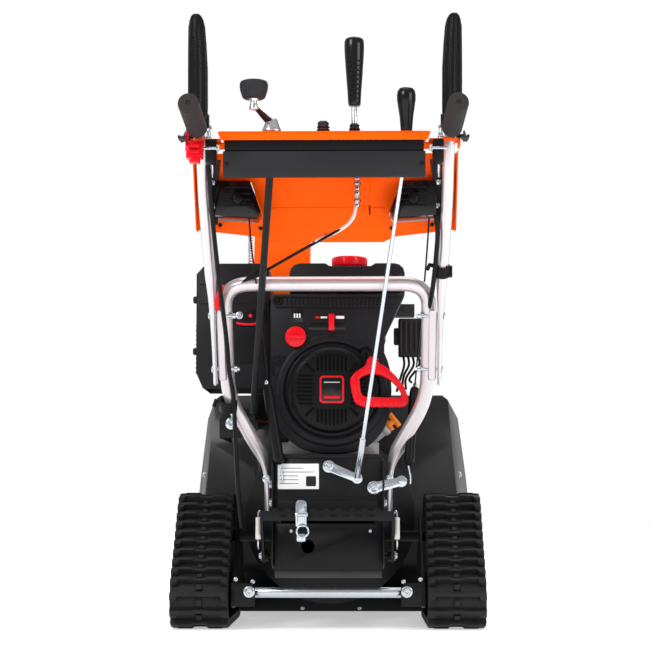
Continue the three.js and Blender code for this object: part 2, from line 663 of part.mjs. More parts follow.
function grip() {
  const front = BEND.clone().lerp(GRIP.end, GRIP.start);
  const sleeve = bar(front, GRIP.end, GRIP.r, 24);
  const bore = bar(BEND, GRIP.end.clone().lerp(BEND, 0.03), TUBE_R + GAP, 24);
  return cut(sleeve, bore);
}

// A clutch lever: a tall paddle on a fork that straddles the handlebar's lug.
function clutchLever() {
  const [py, pz] = LEVER_PIVOT;
  const x = BAR_X;
  const rise = 223;
  const side = [[py - 5, pz + 16], [py - 7, pz + 90], [py - 4, pz + rise - 8], [py, pz + rise],
    [py + 6, pz + rise], [py + 7, pz + 90], [py + 7, pz + 16]];
  const blade = solid(warp(prismGeometry("x", side, -1, 1), (v) => {
    const up = (v.z - pz) / rise;
    v.x = v.x > 0 ? x + 28 : x - 12 + 8 * up * up;
  }));
  const ear = (from, to) =>
    join(bar([from, py, pz], [to, py, pz], 11, 16), box([from, to], [py - 5, py + 7], [pz, pz + 20]));
  const pin = bar([x - 17, py, pz], [x + 17, py, pz], 3.6, 12);
  return join(blade, ear(x - 16, x - 8), ear(x + 8, x + 16), pin);
}

// A steering trigger hangs outside the tube and curls under the grip.
function steeringTrigger() {
  const x = BAR_X + 25;
  const side = [[-550, 956], [-566, 970], [-574, 962], [-640, 944], [-706, 936], [-706, 930], [-640, 934],
    [-572, 950], [-552, 950]];
  return join(
    prism("x", side, x, x + 6),
    box([BAR_X - 6, x + 6], [-706, -668], [930, 936]),
    bar([x - 12, -562, 960], [x + 1, -562, 960], 4, 12),
  );
}

// The bucket release lever, red, hung under the left handlebar tube.
function releaseLever() {
  const x = -BAR_X;
  const body = prism("x", [[-598, 914], [-582, 912], [-576, 930], [-580, 946], [-594, 946]], x - 24, x + 8);
  const ear = prism("x", [[-594, 938], [-580, 938], [-572, 972], [-588, 974]], x - 24, x - 20);
  return join(body, ear);
}

// ---------------------------------------------------------------- dash
function dashPanel() {
  const { half, rear, front, z } = DASH;
  const plate = box([-half, half], [rear, front], [z, z + 3]);
  const lip = box([-half, half], [rear, rear + 3], [z - 9, z + 3]);
  const nose = box([-half, half], [front - 3, front], [z - 8, z + 2]);
  const span = (s, from, to) => (s > 0 ? [from, to] : [-to, -from]);
  const cheek = (s) => join(
    box(span(s, half - 3, half), [rear + 30, front], [z - 8, z + 2]),
    box(span(s, half - 1, 222), [-560, -500], [z - 8, z - 5]),
  );
  const crankHole = bar([CRANK.x, CRANK.y, z - 9], [CRANK.x, CRANK.y, z + 9], 8, 20);
  const slot = (x, from, to) => box([x - 9, x + 9], [from, to], [z - 9, z + 9]);
  const sheet = join(plate, lip, nose, cheek(-1), cheek(1));
  return cut(sheet, crankHole, slot(57, -570, -490), slot(157, -580, -480));
}

const dashBox = () =>
  join(
    box([-190, 190], [-628, -610], [872, 920]),
    box([-187, 187], [-624, -618], [918, DASH.z - GAP]),
  );

// The fairing leans with the handlebar, in front of it.
function fairing() {
  const face = (z, off) => [legY(z) + off, z];
  const sheet = [face(760, 33), face(820, 31), face(850, 28), face(944, 56), face(944, 60), face(850, 33),
    face(820, 36), face(760, 38)];
  const half = BAR_X + TUBE_R + 8;
  const outline = [[-half, 944], [-half, 803], [-234, 801], [-137, 791], [-114, 781], [114, 781],
    [137, 791], [234, 801], [half, 803], [half, 944]];
  const front = prism("x", sheet, -half, half).intersect(prism("y", outline, -600, -300));
  const side = [face(800, 8), face(940, 8), face(940, 57), face(850, 31), face(800, 34)];
  const wing = (x) => prism("x", side, x, x + 3);
  return cut(join(front, wing(-half), wing(half - 3)), lampBlock(1, 1.2), lampBlock(-1, 1.2));
}

// A headlight body, let into the fairing.
function lampBlock(side, extra = 0) {
  const e = extra;
  const outline = [[126 - e, 830], [134 - e, 817 - e], [216 + e, 822 - e], [217 + e, 890 + e],
    [148 - e, 890 + e]];
  const flip = outline.map(([x, z]) => [side * x, z]);
  return prism("y", side > 0 ? flip : flip.reverse(), extra ? -540 : -470, extra ? -360 : -396);
}

// ---------------------------------------------------------------- dash controls
// The crank stands upright on the dash: a cone, a rising arm and a pin for the knob.
function chuteCrank() {
  const { x, y, knob } = CRANK;
  return join(
    bar([x, y, 944], [x, y, 964], 6, 16),
    bar([x, y, 961], [x, y, 984], 19, 24, 12),
    bar([x, y, 978], [...knob, 1008], 9, 14, 7),
    bar([...knob, 1004], [...knob, 1032], 5, 14),
  );
}
const crankKnob = () =>
  turned([[6, 0], [19, 0], [25, 12], [27, 26], [25, 33], [16, 37], [0, 38], [0, 16], [6, 16], [6, 0]],
    [...CRANK.knob, 1020], [0, 0, 1], 24);

const crankRod = () => bar(CRANK_ROD.foot, CRANK_ROD.top, 7, 14);
const WORM = { from: [-158, -168, 440], to: [-196, 172, 450] };
function wormShaft() {
  const along = v3(WORM.to).sub(v3(WORM.from)).normalize();
  const end = v3(WORM.to);
  return join(
    bar(WORM.from, WORM.to, 6, 14),
    bar(end.clone().addScaledVector(along, -1), end.clone().addScaledVector(along, 48), 11, 16),
  );
}

// A dash lever: rod, tapered grip, and below the panel a pin for its rod or cable.
function dashLever(x, base, tip, gripFrom, r0, r1, extra) {
  const [a, b] = [v3([x, ...base]), v3([x, ...tip])];
  const up = b.clone().sub(a).normalize();
  const low = a.clone().addScaledVector(up, gripFrom);
  const length = low.distanceTo(b);
  const knob = [[0, 0], [r0, 0], [r1, length - 26], [r1, length - 6], [r1 * 0.7, length], [0, length]];
  return join(
    bar([x - 10, ...base], [x + 10, ...base], 11, 16),
    bar(a, low.clone().addScaledVector(up, 4), 6, 12),
    turned(knob, low, up, 16),
    extra,
  );
}
const LEVER_BASE = [-530, 925];
const speedLever = () => {
  const rodArm = box([157, 166], [-572, -530], [921, 929]);
  return dashLever(157, LEVER_BASE, [-538, 1060], 42, 10, 18.5, rodArm);
};
const deflectorLever = () => {
  const cableArm = box([52, 62], [-534, -526], [892, 925]);
  return dashLever(57, LEVER_BASE, [-536, 1158], 99, 10.5, 19.5, cableArm);
};

// The speed rod joins the speed lever to the plate arm on the chassis.
const SPEED_ROD = { top: [152, -566, 918], foot: [61, -172, 316] };
const speedRod = () => join(
  bar(SPEED_ROD.top, SPEED_ROD.foot, 4, 12),
  bar(SPEED_ROD.foot, v3(SPEED_ROD.foot).lerp(v3(SPEED_ROD.top), 0.13), 6.5, 12),
);

// ---------------------------------------------------------------- the machine
const snowblower = new THREE.Group();

const tracks = new THREE.Group();
tracks.add(bothSides((side) => [
  piece(`track_frame_${side}`, trackFrame(), BLACK),
  piece(`track_belt_${side}`, trackBelt(), RUBBER),
  piece(`rear_idler_${side}`, idler(TRACK.rear), PLASTIC),
  piece(`front_idler_${side}`, idler(TRACK.front), PLASTIC),
  piece(`drive_sprocket_${side}`, sprocket(), BLACK),
]));
tracks.add(piece("cross_tube", crossTube(), ZINC));

const chassis = new THREE.Group();
chassis.add(
  piece("chassis_box", chassisBox(), BLACK),
  piece("rear_cover", rearCover(), BLACK),
  piece("foot_pedal", footPedal(), BLACK),
  piece("speed_arm", plateArm(SPEED_ARM), ZINC),
  piece("auger_arm", plateArm(AUGER_ARM), ZINC),
);

const intake = new THREE.Group();
intake.add(
  piece("bucket", bucket(), BLACK),
  piece("scraper_bar", scraperBar(), BLACK),
  piece("auger_gearbox", augerGearbox(), CAST),
  piece("auger", auger(), BLACK),
  piece("impeller", impeller(), BLACK),
  piece("chute", chute(), ORANGE),
  piece("deflector", deflector(), ORANGE),
  bothSides((side) => [piece(`skid_shoe_${side}`, skidShoe(), BLACK)]),
);

const engine = new THREE.Group();
engine.add(
  piece("engine_block", engineBlock(), CAST),
  piece("engine_shroud", engineShroud(), PLASTIC),
  piece("recoil_cover", recoilCover(), PLASTIC),
  piece("recoil_handle", recoilHandle(), RED),
  piece("fuel_tank", fuelTank(), PLASTIC),
  piece("fuel_cap", fuelCap(), RED),
  piece("intake_box", intakeBox(), PLASTIC),
  piece("muffler", muffler(), CAST),
  piece("oil_cap", oilCap(), AMBER),
  piece("choke_knob", chokeKnob(), RED),
  piece("throttle_slider", throttleSlider(), RED),
  piece("crank_pulley", crankPulley(), CAST),
  piece("belt_cover", beltCover(), PLASTIC),
);

const handlebar = new THREE.Group();
handlebar.add(
  piece("handle_frame", handleFrame(), SILVER),
  bothSides((side) => [
    piece(`handle_tube_${side}`, handleTube(), SILVER),
    piece(`grip_${side}`, grip(), RUBBER),
    piece(side === "left" ? "drive_lever" : "auger_lever", clutchLever(), PLASTIC),
    piece(`steering_trigger_${side}`, steeringTrigger(), BLACK),
  ]),
  piece("release_lever", releaseLever(), RED),
);

const dash = new THREE.Group();
dash.add(
  piece("dash_panel", dashPanel(), ORANGE),
  piece("dash_box", dashBox(), BLACK),
  piece("fairing", fairing(), ORANGE),
  piece("headlight_right", lampBlock(1), LAMP),
  piece("headlight_left", lampBlock(-1), LAMP),
  piece("chute_crank", chuteCrank(), ZINC),
  piece("crank_knob", crankKnob(), PLASTIC),
  piece("crank_rod", crankRod(), BLACK),
  piece("worm_shaft", wormShaft(), BLACK),
  piece("speed_lever", speedLever(), PLASTIC),
  piece("deflector_lever", deflectorLever(), PLASTIC),
  piece("speed_rod", speedRod(), ZINC),
);

snowblower.add(tracks, chassis, intake, engine, handlebar, dash);

export default snowblower;
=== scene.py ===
"""Two stage snowblower on rubber tracks: the looks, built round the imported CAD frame.

Shapes are worked out in millimetres and scaled to metres when a piece is made.
+X is the operator's right, +Y is forward, +Z is up.
"""

import math

import bmesh
import bpy
from mathutils import Matrix, Vector


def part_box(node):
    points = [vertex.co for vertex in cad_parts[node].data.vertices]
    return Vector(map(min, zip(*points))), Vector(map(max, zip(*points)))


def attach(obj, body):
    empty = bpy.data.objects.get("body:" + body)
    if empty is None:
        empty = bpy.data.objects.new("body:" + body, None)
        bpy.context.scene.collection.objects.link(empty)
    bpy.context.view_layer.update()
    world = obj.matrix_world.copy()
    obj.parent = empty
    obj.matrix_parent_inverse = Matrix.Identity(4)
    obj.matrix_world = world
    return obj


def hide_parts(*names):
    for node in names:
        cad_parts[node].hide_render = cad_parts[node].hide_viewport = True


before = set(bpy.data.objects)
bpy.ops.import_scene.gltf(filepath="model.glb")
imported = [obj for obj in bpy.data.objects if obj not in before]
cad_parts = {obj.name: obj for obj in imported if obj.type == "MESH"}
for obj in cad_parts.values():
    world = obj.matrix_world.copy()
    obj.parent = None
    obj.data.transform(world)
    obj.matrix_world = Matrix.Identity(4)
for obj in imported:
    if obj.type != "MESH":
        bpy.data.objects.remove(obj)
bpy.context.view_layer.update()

MM = 0.001
SIDES = (("left", -1), ("right", 1))
UP, BACK, AHEAD = (0, 0, 1), (0, -1, 0), (0, 1, 0)


def box(node):
    """The node's lowest and highest corners, in millimetres."""
    low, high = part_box(node)
    return low / MM, high / MM


def centre(node):
    low, high = box(node)
    return (low + high) / 2


# ------------------------------------------------------------------ materials

def finish(name, colour, rough, metal=0.0, grain=400, bump=0.1, mottle=0.12, coat=0.0, shine=0.3):
    """A finish with fine grain in its bump and roughness and a broad, faint change of tone."""
    mat = bpy.data.materials.new(name)
    mat.use_nodes = True
    nodes, links = mat.node_tree.nodes, mat.node_tree.links
    shader = nodes["Principled BSDF"]
    where = nodes.new("ShaderNodeTexCoord")

    fine = nodes.new("ShaderNodeTexNoise")
    fine.inputs["Scale"].default_value = grain
    fine.inputs["Detail"].default_value = 4
    links.new(where.outputs["Object"], fine.inputs["Vector"])

    broad = nodes.new("ShaderNodeTexNoise")
    broad.inputs["Scale"].default_value = 9
    broad.inputs["Detail"].default_value = 3
    links.new(where.outputs["Object"], broad.inputs["Vector"])

    tone = nodes.new("ShaderNodeMixRGB")
    tone.blend_type = "MULTIPLY"
    tone.inputs["Fac"].default_value = mottle
    tone.inputs["Color1"].default_value = (*colour, 1)
    links.new(broad.outputs["Fac"], tone.inputs["Color2"])
    links.new(tone.outputs["Color"], shader.inputs["Base Color"])

    gloss = nodes.new("ShaderNodeMapRange")
    gloss.inputs["To Min"].default_value = max(rough - 0.08, 0.02)
    gloss.inputs["To Max"].default_value = min(rough + 0.08, 1.0)
    links.new(fine.outputs["Fac"], gloss.inputs["Value"])
    links.new(gloss.outputs["Result"], shader.inputs["Roughness"])

    relief = nodes.new("ShaderNodeBump")
    relief.inputs["Strength"].default_value = bump
    relief.inputs["Distance"].default_value = 0.0005
    links.new(fine.outputs["Fac"], relief.inputs["Height"])
    links.new(relief.outputs["Normal"], shader.inputs["Normal"])

    shader.inputs["Metallic"].default_value = metal
    shader.inputs["Specular IOR Level"].default_value = shine
    shader.inputs["Coat Weight"].default_value = coat
    shader.inputs["Coat Roughness"].default_value = 0.15
    return mat


ORANGE = finish("orange_powder_coat", (1.0, 0.106, 0.002), 0.36,
                grain=900, bump=0.06, mottle=0.06, shine=0.06)
BLACK = finish("black_powder_coat", (0.0060, 0.0060, 0.0072), 0.40,
               grain=1400, bump=0.25, mottle=0.2, shine=0.2)
CHARCOAL = finish("charcoal_powder_coat", (0.018, 0.018, 0.021), 0.5,
                  grain=1200, bump=0.2, mottle=0.15, shine=0.2)
BUCKET = finish("metallic_grey_paint", (0.016, 0.016, 0.018), 0.34,
                metal=0.2, grain=1600, bump=0.08, coat=0.2, shine=0.2)
PLASTIC = finish("moulded_plastic", (0.0085, 0.0085, 0.0105), 0.42,
                 grain=1500, bump=0.3, mottle=0.12, shine=0.18)
DARK_PLASTIC = finish("dark_plastic", (0.0045, 0.0045, 0.0055), 0.36,
                      grain=1200, bump=0.15, mottle=0.15, shine=0.15)
GLOSS_BLACK = finish("gloss_black", (0.004, 0.004, 0.005), 0.2,
                     grain=500, bump=0.04, coat=0.25, shine=0.2)
TYRE = finish("track_rubber", (0.0125, 0.012, 0.0115), 0.62, grain=700, bump=0.5, mottle=0.3)
FOAM = finish("foam_rubber", (0.030, 0.026, 0.025), 0.85, grain=1300, bump=0.7, mottle=0.2)
SILVER = finish("silver_lacquer", (0.70, 0.66, 0.68), 0.30,
                metal=0.7, grain=1500, bump=0.06, mottle=0.1, coat=0.2)
ZINC = finish("zinc_plate", (0.66, 0.71, 0.76), 0.22, metal=0.95, grain=180, bump=0.12, mottle=0.3)
MATT_BLACK = finish("matt_black", (0.021, 0.020, 0.022), 0.62,
                    grain=1200, bump=0.3, mottle=0.12, shine=0.2)
CHROME = finish("chrome", (0.72, 0.73, 0.74), 0.2, metal=1.0, grain=300, bump=0.03, mottle=0.05)
CAST = finish("die_cast_aluminium", (0.46, 0.44, 0.43), 0.45,
              metal=0.4, grain=500, bump=0.5, mottle=0.25)
RED = finish("red_plastic", (0.80, 0.003, 0.012), 0.30,
             grain=900, bump=0.08, mottle=0.08, coat=0.1, shine=0.2)
AMBER = finish("amber_plastic", (0.90, 0.24, 0.01), 0.38, grain=900, bump=0.08, mottle=0.08)
MUFFLER = finish("heat_proof_paint", (0.035, 0.035, 0.035), 0.7,
                 metal=0.3, grain=500, bump=0.4, mottle=0.4)
WHITE = finish("white_label", (0.88, 0.88, 0.88), 0.40, grain=900, bump=0.03, mottle=0.06)
PALE = finish("pale_spring_sleeve", (0.70, 0.68, 0.62), 0.45, grain=700, bump=0.1, mottle=0.1)
LENS = finish("lamp_lens", (0.55, 0.57, 0.60), 0.08,
              metal=0.3, grain=260, bump=0.3, mottle=0.1, coat=1.0)


# ------------------------------------------------------------------ mesh helpers

HANDLE_FOOT_Y, HANDLE_FOOT_Z, HANDLE_LEAN = -95, 330, 0.7


def legs_line(z):
    """How far back the leaning handlebar stands at height z."""
    return HANDLE_FOOT_Y - (z - HANDLE_FOOT_Z) * HANDLE_LEAN


def turns(count):
    """Evenly spaced angles round a full turn."""
    return [2 * math.pi * k / count for k in range(count)]


def unit(direction):
    return Vector(direction).normalized()


def cross_axes(direction, hint=UP):
    """Two unit vectors square to a direction, the second as near the hint as it can be."""
    w = unit(direction)
    v = Vector(hint) - w * w.dot(Vector(hint))
    if v.length < 1e-3:
        v = Vector((0, 1, 0)) - w * w.y
    v.normalize()
    return v.cross(w), v


def loft(bm, rings, closed=False):
    """Skins a run of rings with the same number of points, and caps both ends."""
    rows = [[bm.verts.new(p) for p in ring] for ring in rings]
    count = len(rows[0])
    pairs = list(zip(rows, rows[1:]))
    if closed:
        pairs.append((rows[-1], rows[0]))
    for a, b in pairs:
        for i in range(count):
            j = (i + 1) % count
            bm.faces.new((a[i], a[j], b[j], b[i]))
    if not closed:
        bm.faces.new(rows[0][::-1])
        bm.faces.new(rows[-1])


def plane_point(axis, point, depth):
    a, b = point
    return {"x": (depth, a, b), "y": (a, depth, b), "z": (a, b, depth)}[axis]


def prism(bm, outline, axis, near, far):
    loft(bm, [[plane_point(axis, p, d) for p in outline] for d in (near, far)])


def block(bm, low, high):
    (x0, y0, z0), (x1, y1, z1) = low, high
    prism(bm, [(x0, y0), (x1, y0), (x1, y1), (x0, y1)], "z", z0, z1)


def lathe(bm, profile, origin, direction, sides=32, hint=UP, hollow=False):
    """Turns (radius, height) pairs about an axis. A zero radius becomes a tiny flat.

    A hollow shape joins its last ring to its first.
    """
    u, v = cross_axes(direction, hint)
    w = unit(direction)
    rings = []
    for radius, height in profile:
        radius = max(radius, 0.05)
        middle = Vector(origin) + w * height
        rings.append([middle + (u * math.cos(a) + v * math.sin(a)) * radius for a in turns(sides)])
    loft(bm, rings, closed=hollow)


def ribbed_lathe(bm, profile, origin, direction, ribs, depth):
    """A turned shape whose rim is fluted: every other point of a ring stands in by the given depth."""
    u, v = cross_axes(direction)
    w = unit(direction)
    rings = []
    for radius, height, fluted in profile:
        ring = []
        for i, a in enumerate(turns(ribs * 4)):
            r = max(radius - (depth if fluted and i % 4 in (2, 3) else 0), 0.05)
            ring.append(Vector(origin) + w * height + (u * math.cos(a) + v * math.sin(a)) * r)
        rings.append(ring)
    loft(bm, rings)


def resample(outline, count):
    """Evenly spaced points along a closed 2D outline."""
    pts = [Vector(p) for p in outline]
    lengths = [(pts[(i + 1) % len(pts)] - p).length for i, p in enumerate(pts)]
    total, out = sum(lengths), []
    i, start = 0, 0.0
    for k in range(count):
        s = total * k / count
        while s > start + lengths[i]:
            start += lengths[i]
            i += 1
        p = pts[i].lerp(pts[(i + 1) % len(pts)], (s - start) / lengths[i])
        out.append((p.x, p.y))
    return out


def ring_plate(bm, outer, inner, axis, near, far, count=96):
    """A flat ring between two outlines that start at matching places."""
    outer, inner = resample(outer, count), resample(inner, count)
    loops = [[plane_point(axis, p, d) for p in line] for line, d in
             ((outer, near), (outer, far), (inner, far), (inner, near))]
    loft(bm, loops, closed=True)


def sweep(bm, path, radius, sides=14):
    """A round bar along a path. The radius is a number, or one (across, along) pair for each point."""
    path = [Vector(p) for p in path]
    across = None
    rings = []
    for i, p in enumerate(path):
        ahead = path[min(i + 1, len(path) - 1)] - path[max(i - 1, 0)]
        t = ahead.normalized()
        if across is None:
            across = Vector((1, 0, 0)) if abs(t.x) < 0.9 else Vector((0, 0, 1))
        across = (across - t * t.dot(across)).normalized()
        other = t.cross(across)
        ru, rv = radius[i] if isinstance(radius, list) else (radius, radius)
        rings.append([p + across * (ru * math.cos(a)) + other * (rv * math.sin(a)) for a in turns(sides)])
    loft(bm, rings)


def bent(points, radius, steps=8):
    """A path of straight runs with a smooth bend at each inner point."""
    p = [Vector(q) for q in points]
    path = [p[0]]
    for a, b, c in zip(p, p[1:], p[2:]):
        reach = min(radius, (a - b).length * 0.48, (c - b).length * 0.48)
        start, end = b + (a - b).normalized() * reach, b + (c - b).normalized() * reach
        for i in range(steps + 1):
            t = i / steps
            path.append(start * (1 - t) ** 2 + b * (2 * t * (1 - t)) + end * t ** 2)
    path.append(p[-1])
    return path


def spline(points, per=8):
    """A smooth curve through every point."""
    p = [Vector(q) for q in points]
    p = [p[0] * 2 - p[1]] + p + [p[-1] * 2 - p[-2]]
    path = []
    for a, b, c, d in zip(p, p[1:], p[2:], p[3:]):
        for i in range(per):
            t = i / per
            path.append(0.5 * (2 * b + (c - a) * t + (2 * a - 5 * b + 4 * c - d) * t ** 2
                               + (3 * b - a - 3 * c + d) * t ** 3))
    path.append(p[-2])
    return path


def round_corners(outline, radius, steps=4):
    """A closed 2D outline with its corners rounded."""
    out = []
    count = len(outline)
    for i in range(count):
        a, b, c = (Vector(outline[k % count]) for k in (i - 1, i, i + 1))
        reach = min(radius, (a - b).length * 0.45, (c - b).length * 0.45)
        start, end = b + (a - b).normalized() * reach, b + (c - b).normalized() * reach
        for k in range(steps + 1):
            t = k / steps
            q = start * (1 - t) ** 2 + b * (2 * t * (1 - t)) + end * t ** 2
            out.append((q.x, q.y))
    return out


def rectangle(low, high, radius, steps=4):
    """A closed rectangle between two 2D corners, its own corners rounded."""
    (a0, b0), (a1, b1) = low, high
    return round_corners([(a0, b0), (a1, b0), (a1, b1), (a0, b1)], radius, steps)


def tile(bm, low, high, radius, back, front):
    """A rounded plate that faces back, between two (x, z) corners."""
    prism(bm, rectangle(low, high, radius), "y", back, front)


def span(sign, a, b):
    """The x of both ends of a stretch given for the right side, the lower one first."""
    return sorted((sign * a, sign * b))


def side_block(bm, sign, low, high):
    """A block given for the right side, on either side."""
    x0, x1 = span(sign, low[0], high[0])
    block(bm, (x0, *low[1:]), (x1, *high[1:]))


def hexagon_bolt(bm, at, direction, size=7, washer=10):
    """A washer and a hexagon head with a chamfered top and a dimple in it."""
    head = [(size, 1.4), (size, 5.0), (size - 1.4, 6.2), (size * 0.45, 6.2), (size * 0.4, 5.4)]
    lathe(bm, [(washer, 0), (washer, 1.2), (washer - 0.6, 1.6)], at, direction, 20)
    lathe(bm, head, at, direction, 6)


def socket_screw(bm, at, direction, r=5):
    lathe(bm, [(r, 0), (r, 1.6), (r * 0.7, 3.0), (r * 0.45, 3.1), (r * 0.4, 1.8)], at, direction, 16)


def soften(piece, bevel, angle, segments):
    """Rounds sharp edges and shades the rest smooth."""
    if bevel:
        mod = piece.modifiers.new("rounded_edges", "BEVEL")
        mod.width = bevel * MM
        mod.segments = segments
        mod.limit_method = "ANGLE"
        mod.angle_limit = math.radians(angle)
        mod.harden_normals = False
    mod = piece.modifiers.new("shading", "NODES")
    mod.node_group = smooth_group(angle)


def link(thing):
    bpy.context.scene.collection.objects.link(thing)


smooth_groups = {}


def smooth_group(angle):
    """Geometry nodes that shade faces smooth, and keep edges sharper than an angle."""
    if angle in smooth_groups:
        return smooth_groups[angle]
    group = bpy.data.node_groups.new(f"smooth_below_{angle}", "GeometryNodeTree")
    group.interface.new_socket("Geometry", in_out="INPUT", socket_type="NodeSocketGeometry")
    group.interface.new_socket("Geometry", in_out="OUTPUT", socket_type="NodeSocketGeometry")
    nodes, links = group.nodes, group.links
    source, target = nodes.new("NodeGroupInput"), nodes.new("NodeGroupOutput")
    faces, edges = nodes.new("GeometryNodeSetShadeSmooth"), nodes.new("GeometryNodeSetShadeSmooth")
    edges.domain = "EDGE"
    edges.inputs["Shade Smooth"].default_value = False
    bend = nodes.new("GeometryNodeInputMeshEdgeAngle")
    sharp = nodes.new("FunctionNodeCompare")
    sharp.operation = "GREATER_THAN"
    sharp.inputs["B"].default_value = math.radians(angle)
    links.new(source.outputs["Geometry"], faces.inputs["Geometry"])
    links.new(faces.outputs["Geometry"], edges.inputs["Geometry"])
    links.new(bend.outputs["Unsigned Angle"], sharp.inputs["A"])
    links.new(sharp.outputs["Result"], edges.inputs["Selection"])
    links.new(edges.outputs["Geometry"], target.inputs["Geometry"])
    smooth_groups[angle] = group
    return group


def make(name, bm, body, material, bevel=0.0, angle=35, segments=2, node=None):
    """Turns millimetre mesh data into a piece that rides on a body, and may stand for a CAD node."""
    bmesh.ops.recalc_face_normals(bm, faces=bm.faces)
    bm.transform(Matrix.Scale(MM, 4))
    mesh = bpy.data.meshes.new(name)
    bm.to_mesh(mesh)
    bm.free()
    mesh.materials.append(material)
    piece = bpy.data.objects.new(name, mesh)
    link(piece)
    soften(piece, bevel, angle, segments)
    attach(piece, body)
    if node:
        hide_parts(node)
    return piece


def bolts(name, heads, body="chassis", bevel=0.3):
    """One piece of zinc bolts, each given by its place, direction, head and washer radius."""
    bm = bmesh.new()
    for head in heads:
        hexagon_bolt(bm, *head)
    make(name, bm, body, ZINC, bevel)


def screws(name, places, direction, radius, material=BLACK):
    """One piece of socket screws that all face one way."""
    bm = bmesh.new()
    for place in places:
        socket_screw(bm, place, direction, radius)
    make(name, bm, "chassis", material, 0.2)


def carve(piece, cutter_bm):
    """Cuts a shape out of a piece for good."""
    bmesh.ops.recalc_face_normals(cutter_bm, faces=cutter_bm.faces)
    cutter_bm.transform(Matrix.Scale(MM, 4))
    mesh = bpy.data.meshes.new("cutter")
    cutter_bm.to_mesh(mesh)
    cutter_bm.free()
    cutter = bpy.data.objects.new("cutter", mesh)
    link(cutter)
    mod = piece.modifiers.new("carve", "BOOLEAN")
    mod.operation = "DIFFERENCE"
    mod.solver = "EXACT"
    mod.object = cutter
    piece.modifiers.move(len(piece.modifiers) - 1, 0)
    kept = [m.name for m in piece.modifiers if m.name != "carve"]
    for name in kept:
        piece.modifiers[name].show_viewport = False
    bpy.context.view_layer.update()
    carved = bpy.data.meshes.new_from_object(piece.evaluated_get(bpy.context.evaluated_depsgraph_get()))
    piece.modifiers.remove(piece.modifiers["carve"])
    piece.data = carved
    for name in kept:
        piece.modifiers[name].show_viewport = True
    bpy.data.objects.remove(cutter)


# ------------------------------------------------------------------ CAD nodes that stay

def dress(node, material, bevel):
    """Gives a CAD node its finish, soft edges and smooth shading, all as modifiers."""
    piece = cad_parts[node]
    piece.data.materials.clear()
    piece.data.materials.append(material)
    weld = piece.modifiers.new("weld", "WELD")
    weld.merge_threshold = 0.02 * MM
    flat = piece.modifiers.new("flats", "DECIMATE")
    flat.decimate_type = "DISSOLVE"
    flat.angle_limit = math.radians(1)
    soften(piece, bevel, 35, 2)


DRESSED = [
    (BLACK, 0.8, ["track_frame_left", "track_frame_right", "drive_sprocket_left", "drive_sprocket_right",
                  "worm_shaft", "crank_rod", "foot_pedal", "rear_cover", "chassis_box", "scraper_bar"]),
    (CHARCOAL, 0.8, ["skid_shoe_left", "skid_shoe_right", "auger", "impeller", "dash_box"]),
    (BUCKET, 1.2, ["bucket"]),
    (ZINC, 0.5, ["cross_tube", "speed_arm", "auger_arm", "speed_rod"]),
    (ORANGE, 1.2, ["chute", "deflector", "dash_panel", "fairing"]),
    (PLASTIC, 2.5, ["engine_shroud", "fuel_tank", "belt_cover"]),
    (PLASTIC, 5.0, ["intake_box"]),
    (DARK_PLASTIC, 1.5, ["rear_idler_left", "rear_idler_right", "front_idler_left", "front_idler_right"]),
    (GLOSS_BLACK, 0.8, ["headlight_left", "headlight_right"]),
    (RED, 0.8, ["choke_knob", "throttle_slider", "release_lever"]),
    (CAST, 1.5, ["engine_block", "auger_gearbox", "crank_pulley"]),
    (MUFFLER, 3.0, ["muffler"]),
    (AMBER, 0.8, ["oil_cap"]),
]
for material, bevel, nodes in DRESSED:
    for node in nodes:
        dress(node, material, bevel)


# ------------------------------------------------------------------ tracks

def belt_path(side):
    """The belt's stretches: straight runs and arcs round the wheels, in (y, z)."""
    def wheel(node, grow):
        low, high = box(node)
        return (low.y + high.y) / 2, (low.z + high.z) / 2, (high.z - low.z) / 2 + grow

    rear, front = wheel(f"rear_idler_{side}", 1.0), wheel(f"front_idler_{side}", 1.0)
    top = wheel(f"drive_sprocket_{side}", 1.8)
    wheels = [rear, front, top]
    runs = []
    for (y, z, r), (ny, nz, nr) in zip(wheels, wheels[1:] + wheels[:1]):
        dy, dz = ny - y, nz - z
        far = math.hypot(dy, dz)
        lean = (r - nr) / far
        square = math.sqrt(1 - lean * lean)
        normal = ((dy * lean + dz * square) / far, (dz * lean - dy * square) / far)
        runs.append((y, z, r, normal, far * square))
    path = []
    for i, (y, z, r, n, length) in enumerate(runs):
        ny, nz, nr, next_n, _ = runs[(i + 1) % 3]
        turn = (math.atan2(next_n[1], next_n[0]) - math.atan2(n[1], n[0])) % (2 * math.pi)
        path.append(("run", y, z, r, n, length))
        path.append(("arc", ny, nz, nr, (math.atan2(n[1], n[0]), turn), turn * (nr + 4)))
    return path


def belt_point(path, s, height):
    """The (y, z) at distance s round the belt and height above its inner face."""
    s %= sum(part[5] for part in path)
    for kind, y, z, r, shape, length in path:
        if s <= length:
            break
        s -= length
    if kind == "run":
        ny, nz = shape
        return y + ny * (r + height) - nz * s, z + nz * (r + height) + ny * s
    start, turn = shape
    a = start + turn * s / length
    return y + (r + height) * math.cos(a), z + (r + height) * math.sin(a)


CARCASS, LUG, LUGS = 8.0, 14.0, 40


